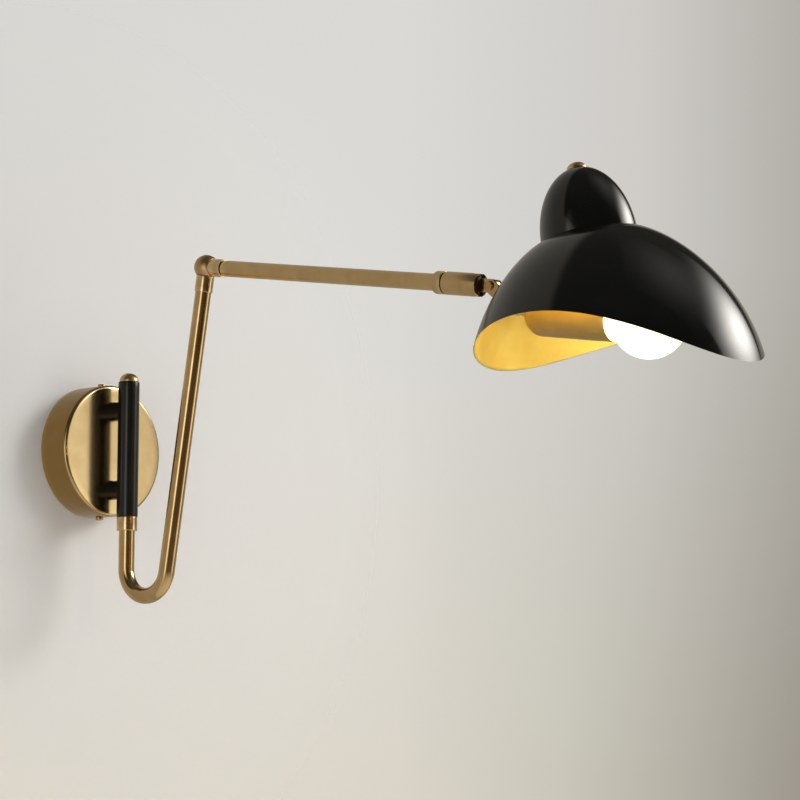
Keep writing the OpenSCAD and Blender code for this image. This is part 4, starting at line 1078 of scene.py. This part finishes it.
# %% World
WALL_TOP = [(0.0, "#D7D7D3"), (0.5, "#DAD9D5"), (0.8, "#CFCCC8"), (1.0, "#B2B0A8")]
WALL_FOOT = [(0.0, "#E0DAC9"), (0.5, "#DAD4C8"), (0.7, "#CAC7BA"), (1.0, "#9D978D")]
TOP_AT, FOOT_AT = 0.06, -0.155
WALL_NEAR, WALL_FAR = (0.8, "#A8A399"), (0.97, "#BDB7AC")
WALL_STARTS, WALL_FULL = 0.36, 0.44
REACH_WHEN_LOW = 0.75
UP_FROM, DOWN_FROM = 0.4, 0.1
CEILING = "#504E49"
CEILING_STARTS, CEILING_FULL = 0.6, 0.85
ROOM_LOW = "#544B3A"
ROOM_HIGH = "#3A3934"
AMBIENT = "#95928C"
world = bpy.data.worlds.new("studio")
scene.world = world
world.use_nodes = True
tree = world.node_tree
tree.nodes.clear()
direction = add(tree, "TexCoord").outputs["Generated"]


def pointing(axis, low, high):
    """How far a ray points along an axis: 0 where its share of the axis is low, 1 where high."""
    share = add(tree, "VectorMath", {0: direction, 1: axis}, operation="DOT_PRODUCT")
    return rise(tree, share.outputs["Value"], low, high)


yaw, up = math.radians(CAMERA_YAW), math.radians(CAMERA_UP)
half_view = math.sin(math.atan(SENSOR / 2 / LENS))
to_right = (math.cos(yaw), -math.sin(yaw), 0)
to_top = (-math.sin(yaw) * math.sin(up), -math.cos(yaw) * math.sin(up), math.cos(up))
across = pointing(to_right, -half_view, half_view)
top, foot = ramp(tree, across, WALL_TOP), ramp(tree, across, WALL_FOOT)
pale = mixed(tree, pointing(to_top, TOP_AT, FOOT_AT), top, foot)
low_down = pointing((0, 0, 1), UP_FROM, DOWN_FROM)
depth = add(tree, "SeparateXYZ", {0: direction}).outputs["Y"]
reach = maths(tree, "MULTIPLY_ADD", low_down, REACH_WHEN_LOW, depth)
is_wall = rise(tree, reach, WALL_STARTS, WALL_FULL)
wall = ramp(tree, depth, [WALL_NEAR, WALL_FAR])
near_ceiling = pointing((0, 0, 1), CEILING_STARTS, CEILING_FULL)
above = mixed(tree, near_ceiling, colour(ROOM_HIGH), colour(CEILING))
room = mixed(tree, is_wall, mixed(tree, low_down, above, colour(ROOM_LOW)), wall)
path = add(tree, "LightPath").outputs
mirror = largest(tree, path["Is Glossy Ray"], path["Is Transmission Ray"])
sky = mixed(tree, path["Is Camera Ray"], mixed(tree, mirror, colour(AMBIENT), room), pale)
background = add(tree, "Background", {"Color": sky, "Strength": 1.0})
add(tree, "OutputWorld", {"Surface": background.outputs["Background"]})
print("world:", len(tree.nodes), "nodes")

# %% [markdown]
# ## The lamps
# A wide soft box at the right lights the canopy's face and the shade's flank, with a weaker one
# over it. A low panel at the right and a small one at the left put a line of light along each
# tube. Their cloths are bright in the middle and fade to the edges, so a mirror shows a glow and
# not a window.

# %% Lights
def softbox(name, at, aim, size, spread, radiance, tint, middle=(0.5, 0.5)):
    """An area lamp of a size in metres, turned towards the aim. Its light is the radiance times
    exp(-r * r), where r is the distance from the middle of the glow as a share of the spread in
    metres."""
    data = bpy.data.lights.new(name, "AREA")
    data.shape = "RECTANGLE"
    data.size, data.size_y = size
    data.energy = radiance * math.pi * size[0] * size[1]
    data.color = colour(tint)[:3]
    data.use_nodes = True
    cloth = data.node_tree
    cloth.nodes.clear()
    place = add(cloth, "NewGeometry").outputs["Parametric"]
    scale = (size[0] / spread[0], size[1] / spread[1], 0)
    from_middle = add(cloth, "VectorMath", {0: place, 1: (*middle, 0)}, operation="SUBTRACT")
    share = add(cloth, "VectorMath", {0: from_middle.outputs[0], 1: scale}, operation="MULTIPLY")
    reads = {0: share.outputs[0], 1: share.outputs[0]}
    square = add(cloth, "VectorMath", reads, operation="DOT_PRODUCT")
    fade = maths(cloth, "POWER", 1 / math.e, square.outputs["Value"])
    glow = add(cloth, "Emission", {"Strength": fade})
    add(cloth, "OutputLight", {"Surface": glow.outputs[0]})
    lamp = bpy.data.objects.new(name, data)
    lamp.location = at
    lamp.rotation_euler = (Vector(aim) - Vector(at)).to_track_quat("-Z", "Y").to_euler()
    lamp.visible_camera = False
    scene.collection.objects.link(lamp)


AT_SHADE = (0, -0.58, 0.1)
WARM_CLOTH = "#FFFBF4"
softbox("right_softbox", at=(1.69, -1.52, 1.45), aim=AT_SHADE, size=(2.4, 1.9),
        spread=(0.8, 0.47), radiance=11.4, tint=WARM_CLOTH, middle=(0.5, 0.27))
softbox("upper_softbox", at=(0.68, -1.39, 1.8), aim=AT_SHADE, size=(1.9, 1.9),
        spread=(0.65, 0.65), radiance=0.35, tint=WARM_CLOTH)
softbox("low_right_panel", at=(1.34, -1.69, -0.18), aim=(0, -0.1, 0.0), size=(1.6, 1.9),
        spread=(0.48, 0.62), radiance=1.5, tint=WARM_CLOTH)
softbox("left_panel", at=(-0.73, -0.375, -0.02), aim=(0, -0.05, 0.0), size=(0.6, 1.2),
        spread=(0.12, 0.32), radiance=2.1, tint="#FFFFFF")
print("lamps:", ", ".join(lamp.name for lamp in bpy.data.lights))
